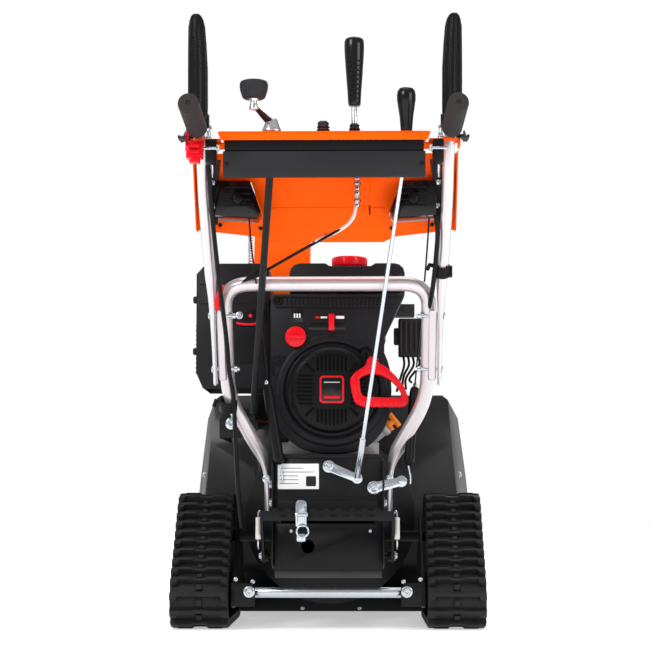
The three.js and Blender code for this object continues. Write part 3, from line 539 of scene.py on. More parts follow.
def track_belt(side):
    low, high = box(f"track_belt_{side}")
    x0, x1 = low.x, high.x
    path = belt_path(side)
    total = sum(part[5] for part in path)
    bm = bmesh.new()
    count = LUGS * 5
    section = [(x0 + 1.5, 0), (x1 - 1.5, 0), (x1, 2), (x1, CARCASS - 1.5), (x1 - 2, CARCASS),
               (x0 + 2, CARCASS), (x0, CARCASS - 1.5), (x0, 2)]
    rings = []
    for i in range(count):
        s = total * i / count
        rings.append([(x, *belt_point(path, s, h)) for x, h in section])
    loft(bm, rings, closed=True)
    middle, half = (x0 + x1) / 2, (x1 - x0) / 2
    # (distance from the middle, height, and the bar's reach along the belt: behind and ahead)
    stations = [(half, 9, 3, 9), (half - 3, 12.5, 3, 10), (half - 13, 13, 3, 9.5), (half - 17, LUG, 3, 3.2),
                (17, LUG, 3, 3.2), (13, 10.5, 3, 3.2), (0, 10, 3, 3.2)]
    for k in range(LUGS):
        s = total * (k + 0.25) / LUGS
        along = [(-d, h, back, ahead) for d, h, back, ahead in stations]
        along += [(d, h, back, ahead) for d, h, back, ahead in stations[-2::-1]]
        rings = []
        for d, h, back, ahead in along:
            bar = ((-back - 1.5, -2), (-back - 1.5, 1), (-back, h), (ahead, h), (ahead + 1.5, 1),
                   (ahead + 1.5, -2))
            rings.append([(middle + d, *belt_point(path, s + ds, CARCASS + dh)) for ds, dh in bar])
        loft(bm, rings)
        # the pad between two bars, over the guide blocks
        pad = []
        for d, h in ((-7, 4), (-5, 6.5), (5, 6.5), (7, 4)):
            pad.append([(middle + d, *belt_point(path, s + total / LUGS / 2 + ds, CARCASS + dh))
                        for ds, dh in ((-6, -2), (-5, h), (5, h), (6, -2))])
        loft(bm, pad)
    # guide blocks inside, between the idler's two tyres
    tooth = ((-5, 1), (-3, -9), (3, -9), (5, 1))
    for k in range(LUGS):
        s = total * (k + 0.25) / LUGS
        for x in (middle - 10, middle + 5):
            loft(bm, [[(x + w, *belt_point(path, s + ds, dh)) for ds, dh in tooth] for w in (0, 5)])
    make(f"rubber_track_{side}", bm, "track_frame", TYRE, 0.7, angle=30, segments=1,
         node=f"track_belt_{side}")


for side, _ in SIDES:
    track_belt(side)


# ------------------------------------------------------------------ handlebar

def lower_handlebar():
    """One bent tube, with both feet pressed flat against the chassis."""
    frame_x, _, frame_top = box("handle_frame")[1]
    leg_x = frame_x - 15
    corner_z = frame_top - 15
    hip_z = 478
    legs = []
    for sign in (1, -1):
        legs.append([(sign * 128, -72, 250), (sign * 128, -104, 345),
                     (sign * leg_x, legs_line(hip_z), hip_z),
                     (sign * leg_x, legs_line(corner_z), corner_z)])
    path = bent(legs[0] + legs[1][::-1], 55, 12)
    radius = []
    for p in path:
        t = min(max((p.z - 335) / 50, 0), 1)
        t = t * t * (3 - 2 * t)
        radius.append((8 + 7 * t, 19 - 4 * t))
    bm = bmesh.new()
    sweep(bm, path, radius, 28)
    make("lower_handlebar", bm, "chassis", SILVER, 0.6, node="handle_frame")


def upper_tubes():
    for side, sign in SIDES:
        eye = box(f"handle_tube_{side}")[1].z
        run = [(229, legs_line(508) - 25, 508), (229, legs_line(698) - 25, 698),
               (238, legs_line(850) - 10, 850), (238, -534, 957), (246.6, -728.6, 989.6)]
        path = bent([(sign * x, y, z) for x, y, z in run], 60, 12)
        foot = [path[0].lerp(path[1], k / 10) for k in range(10)]
        bm = bmesh.new()
        sweep(bm, foot + path[1:], 11.5, 28)
        # the foot is pressed flat beside the lower tube
        for vert in bm.verts:
            up = max(0, (vert.co.z - 510) / 200)
            vert.co.x = sign * 229 + (vert.co.x - sign * 229) * min(1, 0.4 + 0.6 * up ** 3)
        ear = round_corners([(-537, 968), (-519, 968), (-518, 985), (-528, eye), (-538, 985)], 8)
        prism(bm, ear, "x", sign * 232, sign * 244)
        make(f"upper_tube_{side}", bm, "chassis", SILVER, 0.6, node=f"handle_tube_{side}")


def tube_hardware():
    """Bolts and saddles that join the upper tubes to the lower ones."""
    dome = [(8, 0), (7.6, 1.6), (5, 3.2), (0, 3.9)]
    nut = [(8, 0), (8, 1.5), (6, 1.6), (6, 6.5), (4.5, 7.5)]
    for side, sign in SIDES:
        zinc = bmesh.new()
        for z, outside in ((535, 233.2), (638, 235)):
            y = legs_line(z) - 13
            sweep(zinc, [(sign * 180, y, z), (sign * outside, y - 8, z)], 3.6, 12)
            lathe(zinc, dome, (sign * outside, y - 12, z), (sign, 0, 0), 20)
            lathe(zinc, nut, (sign * 191, y, z), (-sign, 0, 0), 6)
        make(f"tube_bolts_{side}", zinc, "chassis", ZINC, 0.3)
        saddle = bmesh.new()
        rings = []
        for z, narrow in ((513, 2), (517, 0), (642, 0), (646, 2)):
            y = legs_line(z)
            section = [(206 + narrow, -12), (206 + narrow, -25), (208.5, -27.5), (220, -27.5),
                       (222.5 - narrow, -25), (222.5 - narrow, -12)]
            rings.append([(sign * x, y + dy, z) for x, dy in section])
        loft(saddle, rings)
        make(f"tube_saddle_{side}", saddle, "chassis", SILVER, 0.8)


def clamp_ring(name, at, direction, inner, outer, length, tail):
    """A band round a tube, with the cable loop that leaves it."""
    bm = bmesh.new()
    lathe(bm, [(inner, 0), (outer, 0), (outer, length), (inner, length)], at, direction, 28, hollow=True)
    sweep(bm, tail, 4.5, 12)
    make(name, bm, "chassis", DARK_PLASTIC, 0.6)


def tube_clamps():
    lean = Vector((0, -HANDLE_LEAN, 1)).normalized()
    at = (230.5, legs_line(715) - 23, 712)
    clamp_ring("cable_clamp_right", at, lean, 11.7, 15.5, 22,
               [(216, at[1] - 10, 730), (205, at[1] - 12, 732), (201, at[1] - 4, 724)])
    bm = bmesh.new()
    block(bm, (212, at[1] - 17, 713), (222, at[1] + 2, 733))
    block(bm, (240, at[1] - 15, 708), (250, at[1] + 2, 730))
    for k in range(4):
        block(bm, (222 + 5 * k, at[1] - 20, 714), (224.5 + 5 * k, at[1] - 12, 730))
    make("clamp_teeth", bm, "chassis", DARK_PLASTIC, 0.8)
    at = (-206, legs_line(468), 456)
    clamp_ring("cable_clamp_left", at, lean, 15.2, 19.5, 24,
               [(-220, at[1] - 8, 470), (-232, at[1] - 10, 474), (-236, at[1] - 4, 462)])
    bm = bmesh.new()
    sweep(bm, [(x, legs_line(z) - 34, z) for x, z in ((-207, 694), (-212, 680), (-218, 664), (-220, 648))],
          [(6, 2.2)] * 4, 12)
    make("red_strap_left", bm, "chassis", RED, 0.4)


def grips():
    for side, sign in SIDES:
        front = Vector((sign * 240.9, -598.9, 967.9))
        end = Vector((sign * 247, -736.7, 991))
        length = (end - front).length
        bm = bmesh.new()
        profile = [(11.8, 0), (17.5, 0.6), (19.2, 3), (19.5, 6)]
        profile += [(19.5 - 0.35 * (i % 2), 6 + (length - 14) * i / 24) for i in range(1, 25)]
        profile += [(19.0, length - 4), (17.2, length - 1.2), (14.5, length - 0.2)]
        profile += [(5, length - 0.4), (4.2, length - 3)]
        lathe(bm, profile, front, end - front, 40)
        make(f"foam_grip_{side}", bm, "chassis", FOAM, node=f"grip_{side}")


def paddles():
    """The two clutch levers, flat paddles that stand over the grips."""
    # (distance below the tip, inner edge, outer edge, half thickness)
    stations = [(221, 231, 252, 4.5), (206, 226, 261, 5.5), (180, 225.6, 265.2, 6.0),
                (110, 226.2, 265.6, 6.0), (60, 229, 265.6, 5.8), (26, 232, 265.3, 5.4),
                (12, 235.5, 263, 4.8), (4, 240, 260, 3.8), (0, 245, 255, 2.2)]
    # rounded edges, and a raised ridge down the rear face
    section = [(-1, 0.2), (-0.93, -0.45), (-0.8, -0.75), (-0.34, -0.62), (-0.2, -1.0), (0.2, -1.0),
               (0.34, -0.62), (0.8, -0.75), (0.93, -0.45), (1, 0.2), (0.94, 0.7), (0.8, 0.95),
               (-0.8, 0.95), (-0.94, 0.7)]
    for side, sign, node in (("left", -1, "drive_lever"), ("right", 1, "auger_lever")):
        low, high = box(node)
        y = (low.y + high.y) / 2
        bm = bmesh.new()
        rings = []
        for drop, x0, x1, thick in stations:
            middle, half = (x0 + x1) / 2, (x1 - x0) / 2
            rings.append([(sign * (middle + a * half), y + b * thick * 1.15, high.z - drop)
                          for a, b in section])
        loft(bm, rings)
        fork = [(y - 8, high.z - 223), (y - 8, high.z - 199), (y + 6, high.z - 199), (y + 10, high.z - 223),
                (y + 6, high.z - 232), (y - 5, high.z - 232)]
        for x in (223, 246):
            prism(bm, round_corners(fork, 5), "x", *span(sign, x, x + 7))
        make(f"clutch_paddle_{side}", bm, node, GLOSS_BLACK, 0.8, angle=40, node=node)
        pin = bmesh.new()
        sweep(pin, [(sign * 220, -528, 985), (sign * 256, -528, 985)], 3.6, 12)
        hexagon_bolt(pin, (sign * 253.4, -528, 985), (sign, 0, 0), 5, 6.5)
        lathe(pin, [(5, 0), (5, 3), (3.8, 4)], (sign * 222.4, -528, 985), (-sign, 0, 0), 6)
        make(f"paddle_pin_{side}", pin, node, ZINC, 0.3)


def release_details():
    bm = bmesh.new()
    block(bm, (-258, -604, 921), (-236, -597, 927))
    block(bm, (-258, -604, 932), (-236, -597, 938))
    toe = [(-600, 905), (-580, 903), (-577, 915), (-598, 917)]
    prism(bm, round_corners(toe, 4), "x", -256, -236)
    ear = [(-596, 926), (-584, 926), (-577, 964), (-583, 972), (-592, 966)]
    prism(bm, round_corners(ear, 4), "x", -263.6, -261.2)
    make("release_lever_ribs", bm, "release_lever", RED, 0.8)
    bm = bmesh.new()
    sweep(bm, [(-263.8, -582, 968), (-244, -582, 968)], 3, 10)
    make("release_pin", bm, "release_lever", ZINC, 0.3)
    for side, sign in SIDES:
        bolts(f"trigger_screw_{side}", [((sign * 269, -562, 960), (sign, 0, 0), 5, 7)],
              f"steering_trigger_{side}")


def triggers():
    """A slim finger lever outside each grip, its end turned in under the grip."""
    side_view = [(-550, 956), (-566, 970), (-574, 962), (-640, 944), (-706, 936), (-706, 930.5), (-640, 934),
                 (-572, 950), (-552, 950)]
    for side, sign in SIDES:
        bm = bmesh.new()
        prism(bm, side_view, "x", *span(sign, 264, 268))
        side_block(bm, sign, (254, -706, 930.5), (268, -676, 934))
        sweep(bm, [(sign * 251, -562, 960), (sign * 264, -562, 960)], 4, 12)
        node = f"steering_trigger_{side}"
        make(f"trigger_{side}", bm, node, MATT_BLACK, 1.2, node=node)


lower_handlebar()
upper_tubes()
tube_hardware()
tube_clamps()
triggers()
grips()
paddles()
release_details()


# ------------------------------------------------------------------ dash

def crank():
    """The chute crank: a cone on the dash, a flat chrome arm, a black strip under it that is painted dark
    reflection in the chrome, and a knob.
    """
    x, y = -99, -600
    kx, ky, knob_low = -132, -630, 1020
    bm = bmesh.new()
    cone = [(19, 960.5), (19.5, 962), (18.8, 965), (15.5, 973), (12.4, 982), (11.5, 985), (9, 986.5),
            (0, 987)]
    lathe(bm, cone, (x, y, 0), UP, 32)
    # a flat arm that narrows as it rises to the knob
    across = Vector((ky - y, x - kx, 0)).normalized()
    top, under = Vector((0, 0, 3.4)), Vector((0, 0, 1))
    rings = []
    for t in (0.0, 0.06, 0.5, 0.94, 1.0):
        wide = across * ((11 - 5.5 * t) * (0.8 if t in (0.0, 1.0) else 1))
        middle = Vector((x, y, 978)).lerp(Vector((kx, ky, 1006)), t)
        rings.append([middle + wide + top, middle - wide + top, middle - wide + under, middle + wide + under])
    loft(bm, rings)
    # a black strip under the chrome arm: painted reflection of the dark dash box in the chrome
    reflection_web = bmesh.new()
    top = Vector((0, 0, 1.6))
    rings = []
    for t in (0.05, 0.5, 0.95):
        wide, narrow = across * (10 - 5 * t), across * (10 - 5 * t - 1)
        drop = Vector((0, 0, 7 - 4 * t))
        middle = Vector((x, y, 978)).lerp(Vector((kx, ky, 1006)), t)
        rings.append([middle + wide + top, middle - wide + top, middle - narrow - drop,
                      middle + narrow - drop])
    loft(reflection_web, rings)
    make("crank_reflection_web", reflection_web, "chute_crank", BLACK, 0.8)
    neck = [(8.5, 998), (9.0, 1001), (7.6, 1008), (6.6, 1012), (7.5, 1016), (9.5, 1019)]
    lathe(bm, neck, (kx, ky, 0), UP, 28)
    lathe(bm, [(5, 1010), (5, 1031), (4, 1032)], (kx, ky, 0), UP, 16)
    lathe(bm, [(6, 944), (6, 962)], (x, y, 0), UP, 20)
    make("crank_arm", bm, "chute_crank", CHROME, 0.8, node="chute_crank")
    bm = bmesh.new()
    ball = [(10, -1.6), (18, -1.4), (21, 0.5), (23.6, 7), (26.2, 16), (27, 23), (26.6, 28), (24.6, 31.5),
            (20, 33.4), (9, 34), (0, 34.2)]
    lathe(bm, ball, (kx, ky, knob_low), UP, 40)
    make("crank_knob_ball", bm, "crank_knob", MATT_BLACK, node="crank_knob")


def lever(node, rings, base, tip, profile):
    """A dash lever: a chrome rod and a turned grip with bars across its rear."""
    base, tip = Vector(base), Vector(tip)
    up = (tip - base).normalized()
    bm = bmesh.new()
    sweep(bm, [base, base + up * (profile[0][1] + 4)], 6, 16)
    sweep(bm, [base - Vector((10, 0, 0)), base + Vector((10, 0, 0))], 11, 20)
    make(f"{node}_rod", bm, node, CHROME, 0.4)
    bm = bmesh.new()
    lathe(bm, profile, base, up, 40, hint=BACK)
    for height, half in rings:
        at = base + up * height
        block(bm, (at.x - half, at.y - 19.5, at.z - 1), (at.x + half, at.y - 10, at.z + 1.2))
    make(f"{node}_grip", bm, node, GLOSS_BLACK, 0.5, node=node)


def dash_levers():
    base_y, base_z = -530, 925
    total = math.hypot(6, 233)
    grip = [(10.5, 99), (11.5, 101), (12.5, 106), (13.5, 125), (15.5, 150), (17.5, 178),
            (19.0, 200), (19.5, 214), (19.2, total - 8), (17.0, total - 3), (12, total - 0.6), (0, total)]
    ribs = [(112 + 9 * i, 7 + 0.55 * i) for i in range(9)]
    lever("deflector_lever", ribs, (57, base_y, base_z), (57, -536, 1158), grip)
    total = math.hypot(8, 135)
    bulb = [(10, 42), (11, 46), (12, 60), (13.5, 78), (16.5, 98), (18.3, 110), (18.5, 119), (17.4, 127),
            (13.5, total - 2.5), (8, total - 0.6), (0, total)]
    lever("speed_lever", [], (157, base_y, base_z), (157, -538, 1060), bulb)
    arm = bmesh.new()
    block(arm, (157, -572, 921), (166, -530, 929))
    make("speed_lever_arm", arm, "speed_lever", ZINC, 0.6)
    arm = bmesh.new()
    block(arm, (52, -534, 892), (62, -526, 925))
    make("deflector_lever_arm", arm, "deflector_lever", ZINC, 0.6)


def dash_details():
    """The panel's lip, tabs, brackets and bolts, with the rubber boots that stand on it."""
    panel_low, panel_high = box("dash_panel")
    top = panel_high.z - 5
    rear = panel_low.y
    low, high = box("dash_box")
    # a rolled lip along the panel's rear edge, with its corners swept up and out
    bm = bmesh.new()
    half = 192
    outline = [(-half - 8, top + 4), (-half - 2, top - 12), (half + 2, top - 12), (half + 8, top + 4),
               (half - 4, top + 5), (half - 14, top + 1), (-half + 14, top + 1), (-half + 4, top + 5)]
    prism(bm, outline, "y", rear - 3, rear + 1)
    make("dash_lip", bm, "chassis", ORANGE, 1.0)
    # a darker plastic strip across the top of the dash box: painted shade of the panel's underside behind its
    # rear lip
    bm = bmesh.new()
    block(bm, (-187, low.y - 1.5, high.z - 32), (187, low.y + 5, high.z - 2))
    make("dash_shade_band", bm, "chassis", DARK_PLASTIC, 1.0)
    screws("dash_screws", [(x, low.y - 0.5, 896) for x in (-184, 184)], BACK, 4)
    # rubber boots: one over a switch, one round the deflector lever
    bm = bmesh.new()
    lathe(bm, [(14, 0), (14, 3), (11, 5), (13, 8), (10.5, 11), (12.5, 14), (10, 17), (11.5, 21),
               (8, 25), (0, 26)],
          (-2, -600, 956.5), UP, 28)
    make("switch_boot", bm, "chassis", GLOSS_BLACK, 0.3)
    bm = bmesh.new()
    lathe(bm, [(6.2, 0), (13, 0), (13, 3), (10, 6), (12, 9), (9.5, 12), (11.5, 16), (9, 20), (10, 24),
               (6.2, 28)],
          (57, -531, 963), UP, 28, hollow=True)
    make("lever_boot", bm, "deflector_lever", GLOSS_BLACK, 0.3)
    for side, sign in SIDES:
        bm = bmesh.new()
        side_block(bm, sign, (198, -585, top - 3), (258, -545, top))
        side_block(bm, sign, (254, -585, top - 14), (258, -545, top))
        make(f"dash_tab_{side}", bm, "chassis", ORANGE, 0.8)
        bm = bmesh.new()
        for y in (-576, -556):
            hexagon_bolt(bm, (sign * 221, y, top), UP, 6, 8)
            lathe(bm, [(3.5, 0), (3.5, 16), (2.8, 17)], (sign * 221, y, top + 4), UP, 12)
        sweep(bm, [(sign * 200, -590, 932), (sign * 232, -590, 932)], 3.2, 12)
        hexagon_bolt(bm, (sign * 204, -590, 932), (-sign, 0, 0), 5.5, 8)
        make(f"dash_bolts_{side}", bm, "chassis", ZINC, 0.3)
        bm = bmesh.new()
        side_block(bm, sign, (205, -592, 905), (226, -560, 950))
        make(f"dash_side_bracket_{side}", bm, "chassis", BLACK, 2.0)


def dash_side_plates():
    """Dark plates between each upper tube and its lamp, with the bolts that hold them."""
    for side, sign in SIDES:
        bm = bmesh.new()
        rings = []
        for z, x0, x1 in ((812, 214, 226), (832, 213, 239), (880, 211, 241), (928, 203, 243)):
            y = legs_line(z) + 20
            rings.append([(sign * x0, y, z), (sign * x1, y, z), (sign * x1, y + 4, z), (sign * x0, y + 4, z)])
        loft(bm, rings)
        make(f"dash_side_plate_{side}", bm, "chassis", BLACK, 1.0)
        bm = bmesh.new()
        for x, z in ((234, 862), (220, 888), (218, 846), (236, 832)):
            hexagon_bolt(bm, (sign * x, legs_line(z) + 19.5, z), BACK, 4.5, 6.5)
        pin = [(sign * 221, legs_line(z) + 14, z) for z in (918, 896)]
        sweep(bm, pin, [(3.5, 3.5)] * 2, 12)
        make(f"dash_side_bolts_{side}", bm, "chassis", ZINC, 0.3)


def fairing_details():
    places = ((-130, 806), (130, 806), (-210, 812), (210, 812), (0, 792))
    screws("fairing_rivets", [(x, legs_line(z) + 30, z) for x, z in places], (0, -1, -0.3), 4)
    # folded stiffening band across the panel
    bm = bmesh.new()
    rings = [[(x, legs_line(z) + off, z) for z, off in ((826, 33), (830, 28.5), (842, 26.5), (846, 30))]
             for x in (-116, 116)]
    loft(bm, rings)
    make("fairing_crease", bm, "chassis", ORANGE, 1.2)


def lamps():
    for side, sign in SIDES:
        low, high = box(f"headlight_{side}")
        middle = (low + high) / 2
        bm = bmesh.new()
        bezel = [(30, 0), (31, 2), (31, 7), (27, 9), (25, 5), (0, 3)]
        lathe(bm, bezel, (middle.x + sign * 2, high.y - 4, middle.z), AHEAD, 36)
        make(f"headlight_bezel_{side}", bm, "chassis", GLOSS_BLACK, 0.4)
        bm = bmesh.new()
        lens = [(25, 0), (25, 2), (20, 4.6), (12, 6.2), (0, 7)]
        lathe(bm, lens, (middle.x + sign * 2, high.y - 1, middle.z), AHEAD, 36)
        make(f"headlight_lens_{side}", bm, "chassis", LENS)
        bm = bmesh.new()
        for i in range(4):
            z = low.z + 22 + 12 * i
            block(bm, (middle.x - 26, low.y - 3, z), (middle.x + 26, low.y + 2, z + 4))
        lathe(bm, [(12, 0), (12, 8), (9, 14), (5, 15)], (middle.x, low.y + 1, middle.z), BACK, 20)
        make(f"headlight_ribs_{side}", bm, "chassis", DARK_PLASTIC, 0.8)


crank()
dash_levers()
dash_details()
dash_side_plates()
fairing_details()
lamps()


# ------------------------------------------------------------------ engine

COVER = centre("recoil_cover")
COVER_BACK = box("recoil_cover")[0].y
SHROUD_BACK = box("engine_shroud")[0].y


def capsule(x, z, long, wide, turn=0.0):
    """A slot outline about a point, its long side turned from level by an angle in degrees."""
    a = math.radians(turn)
    points = rectangle((-long / 2, -wide / 2), (long / 2, wide / 2), wide * 0.45, 2)
    return [(x + px * math.cos(a) - pz * math.sin(a), z + px * math.sin(a) + pz * math.cos(a))
            for px, pz in points]


def recoil_cover():
    x, z, r = COVER.x, COVER.z, 99
    bm = bmesh.new()
    lathe(bm, [(r, 27.6), (r, 16), (r - 1.5, 13), (r - 5, 11.5), (r - 7, 11.5), (r - 8.5, 9), (r - 13, 4.5),
               (r - 20, 1.8), (r - 34, 0.6), (r - 60, 0.2), (0, 0)], (x, COVER_BACK, z), AHEAD, 72)
    cover = make("recoil_starter_cover", bm, "chassis", DARK_PLASTIC, 0.0)
    cuts = bmesh.new()
    for i in range(8):
        off = -29.4 + 8.4 * i
        reach = math.sqrt(75 ** 2 - off ** 2)
        middle, long = (40 + reach) / 2, reach - 40
        for dx, dz, turn in ((off, middle, 90), (off, -middle, 90), (middle, off, 0), (-middle, off, 0)):
            outline = capsule(x + dx, z + dz, long, 4.6, turn)
            prism(cuts, outline, "y", COVER_BACK - 5, COVER_BACK + 12)
    for turn in (45, 135, 225, 315):
        a = math.radians(turn)
        prism(cuts, capsule(x + 66 * math.cos(a), z + 66 * math.sin(a), 26, 5.5, turn), "y",
              COVER_BACK - 5, COVER_BACK + 12)
    for k in range(30):
        turn = 185 + 170 * k / 29
        a = math.radians(turn)
        prism(cuts, capsule(x + 86.5 * math.cos(a), z + 86.5 * math.sin(a), 2.6, 4.6, turn), "y",
              COVER_BACK - 5, COVER_BACK + 10)
    carve(cover, cuts)
    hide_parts("recoil_cover")
    # the badge is blank: a frame, a face, a bar and a line
    badge = bmesh.new()
    tile(badge, (x - 26, z - 29), (x + 26, z + 29), 8, COVER_BACK - 3, COVER_BACK + 2)
    make("badge_frame", badge, "chassis", RED, 0.8)
    badge = bmesh.new()
    tile(badge, (x - 22, z - 25), (x + 22, z + 25), 5, COVER_BACK - 3.8, COVER_BACK)
    make("badge_face", badge, "chassis", GLOSS_BLACK, 0.5)
    badge = bmesh.new()
    block(badge, (x - 17, COVER_BACK - 4.2, z - 19), (x + 17, COVER_BACK - 3, z - 14))
    make("badge_bar", badge, "chassis", RED, 0.3)
    badge = bmesh.new()
    block(badge, (x - 17, COVER_BACK - 4.2, z + 14), (x + 17, COVER_BACK - 3, z + 16))
    make("badge_line", badge, "chassis", SILVER, 0.2)


def shroud_details():
    y = SHROUD_BACK
    x, z = COVER.x, COVER.z
    low, high = box("engine_shroud")
    rim = bmesh.new()
    edge = [(101, 2), (101, -4), (104, -5.5), (113, -5), (119, -2), (121, 2)]
    lathe(rim, edge, (x, y, z), AHEAD, 72, hollow=True)
    make("shroud_rim", rim, "chassis", PLASTIC, 0.5)
    # the ribbed band under the tank
    top = high.z - 3
    bm = bmesh.new()
    block(bm, (low.x + 8, y - 4, top - 3), (high.x - 12, y + 1, top))
    block(bm, (low.x + 8, y - 4, top - 25), (high.x - 22, y + 1, top - 22))
    for i in range(26):
        at = low.x + 30 + 8.6 * i
        block(bm, (at, y - 3, top - 23), (at + 3, y + 1, top - 2))
    make("shroud_band", bm, "chassis", PLASTIC, 0.5)
    bm = bmesh.new()
    lathe(bm, [(11, 0), (11, 4), (9, 5.5), (6, 5.5), (5.4, 2.5)], (-108, y + 0.5, 692), BACK, 24)
    frame_out = rectangle((-119, 530), (-91, 573), 4, 3)
    frame_in = rectangle((-116, 533), (-94, 570), 3, 3)
    ring_plate(bm, frame_out, frame_in, "y", y - 3, y + 1, 48)
    lathe(bm, [(8, 0), (8, 2.5), (6.5, 3.5), (4, 3.5), (3.4, 1.5)], (-105, y + 0.5, 558), BACK, 20)
    make("shroud_bosses", bm, "chassis", DARK_PLASTIC, 0.5)
    screws("shroud_screws", [(-108, y - 2.5, 692), (-105, y - 2.5, 558)], BACK, 4)
    # throttle slot, and blank plates where marks would be
    bm = bmesh.new()
    prism(bm, capsule(-3, 636, 82, 15), "y", y - 0.3, y + 1)
    tile(bm, (-79, 645), (-53, 672), 2, y - 0.8, y + 1)
    make("shroud_plates", bm, "chassis", GLOSS_BLACK, 0.3)
    bm = bmesh.new()
    for mark in (-73, -67.5, -62):
        block(bm, (mark, y - 1.4, 654), (mark + 3, y, 663))
    block(bm, (16, y - 0.3, 652), (34, y + 1, 658))
    block(bm, (-16, y - 0.3, 653), (-2, y + 1, 657))
    make("shroud_marks", bm, "chassis", WHITE)
    bm = bmesh.new()
    block(bm, (-27, y - 0.3, 653), (-19, y + 1, 657))
    make("shroud_mark_red", bm, "chassis", RED)
    bm = bmesh.new()
    lathe(bm, [(5, 0), (5, 2), (3.6, 3), (0, 3.1)], (-69, -128.5, 613), BACK, 16)
    make("choke_centre", bm, "choke_knob", GLOSS_BLACK, 0.2)
    bm = bmesh.new()
    tile(bm, (-88, 608.5), (-50, 617.5), 3, -133, -127)
    make("choke_wing", bm, "choke_knob", RED, 1.2)


def handle_grip():
    outer = [(84, 567.5), (99, 567.5), (105, 556), (122, 546), (143, 527), (159, 506), (168, 484), (169, 470),
             (160, 461.5), (72, 462), (56, 470), (49, 494), (45.5, 520), (54, 533), (79, 550)]
    inner = [(88, 532), (110, 529), (128, 520), (144, 505), (154, 489), (152, 481), (76, 484),
             (69, 492), (66, 523)]
    bm = bmesh.new()
    ring_plate(bm, round_corners(outer, 6), round_corners(inner, 5), "y", -162, -146, 120)
    make("recoil_grip", bm, "recoil_handle", RED, 4.0, angle=50, segments=3,
         node="recoil_handle")
    bm = bmesh.new()
    for i in range(9):
        at = 78 + 8.6 * i
        prism(bm, [(at, 462.5), (at + 4, 462.5), (at + 7, 481.5), (at + 3, 481.5)], "y", -163.6, -160)
    prism(bm, [(56, 488), (61, 489), (57, 526), (52, 520)], "y", -163.4, -160)
    prism(bm, [(128, 534), (152, 506), (156, 510), (131, 538)], "y", -163.4, -160)
    prism(bm, round_corners([(86, 568), (103, 566), (108, 546), (83, 546)], 4), "y", -165, -144)
    for z in (549, 555, 561):
        block(bm, (84, -166.4, z), (106, -160, z + 2.4))
    make("recoil_grip_ribs", bm, "recoil_handle", RED, 0.7)
    bm = bmesh.new()
    lathe(bm, [(15, 0), (15, 6), (11, 12), (8, 18), (6, 18)], (78, SHROUD_BACK + 1, 577), BACK, 24)
    sweep(bm, [(78, SHROUD_BACK - 12, 577), (84, -146, 576), (91, -153, 569)], 2.5, 10)
    make("cord_guide", bm, "chassis", DARK_PLASTIC, 0.5)


def fuel_cap():
    x, y = centre("fuel_cap").xy
    foot = box("fuel_cap")[0].z
    bm = bmesh.new()
    ribbed_lathe(bm, [(30, 0, 0), (30, 8, 0), (36, 8, 0), (38.6, 10, 1), (39, 12, 1), (39, 24, 1),
                      (37.6, 27.5, 1),
                      (34, 29, 0), (31, 29.4, 0), (29, 27.8, 0), (12, 27.6, 0), (10, 30.6, 0), (0, 31, 0)],
                 (x, y, foot), UP, 32, 1.6)
    make("fuel_cap_ribbed", bm, "fuel_cap", RED, node="fuel_cap")
    low, high = box("fuel_tank")
    bm = bmesh.new()
    lathe(bm, [(34, 0), (42, 0), (42, 2), (36, 4), (34, 4)], (x, y, high.z - 7), UP, 40, hollow=True)
    outline = rectangle((low.x - 3, low.y - 3), (high.x + 3, high.y + 3), 14)
    prism(bm, outline, "z", low.z + 12, low.z + 17)
    make("tank_seam", bm, "chassis", PLASTIC, 0.8)


def intake_details():
    low = box("intake_box")[0]
    y = low.y
    bm = bmesh.new()
    block(bm, (low.x + 6, y - 1.6, 731), (-129, y + 1, 734.5))
    block(bm, (low.x + 6, y - 1.6, 690), (-129, y + 1, 692))
    for i in range(11):
        z = 540 + 10 * i
        block(bm, (low.x - 1.2, y + 4, z), (low.x + 12, y + 40, z + 4))
    for z in (588, 700):
        lathe(bm, [(8, 0), (8, 5), (6, 8), (0, 8.5)], (low.x - 0.5, y + 22, z), (-1, 0, 0), 16)
    make("intake_ridges", bm, "chassis", PLASTIC, 0.8)
    bm = bmesh.new()
    block(bm, (-196, y - 2, 646), (-134, y + 1, 676))
    tile(bm, (-200, 560), (-140, 640), 6, y - 1.4, y + 1)
    make("intake_recess", bm, "chassis", DARK_PLASTIC, 0.8)
    bm = bmesh.new()
    lip = [(-198, y - 3, 648), (-182, y - 4, 645), (-160, y - 4, 645), (-143, y - 3, 650)]
    sweep(bm, spline(lip, 5), 2.6, 10)
    lathe(bm, [(4, 0), (4, 5), (0, 6)], (-168, y - 1, 663), BACK, 12)
    make("intake_red_lip", bm, "chassis", RED, 0.2)
    bolts("intake_bolt", [((-192, y - 1.5, 664), BACK, 6, 8)], bevel=0.2)


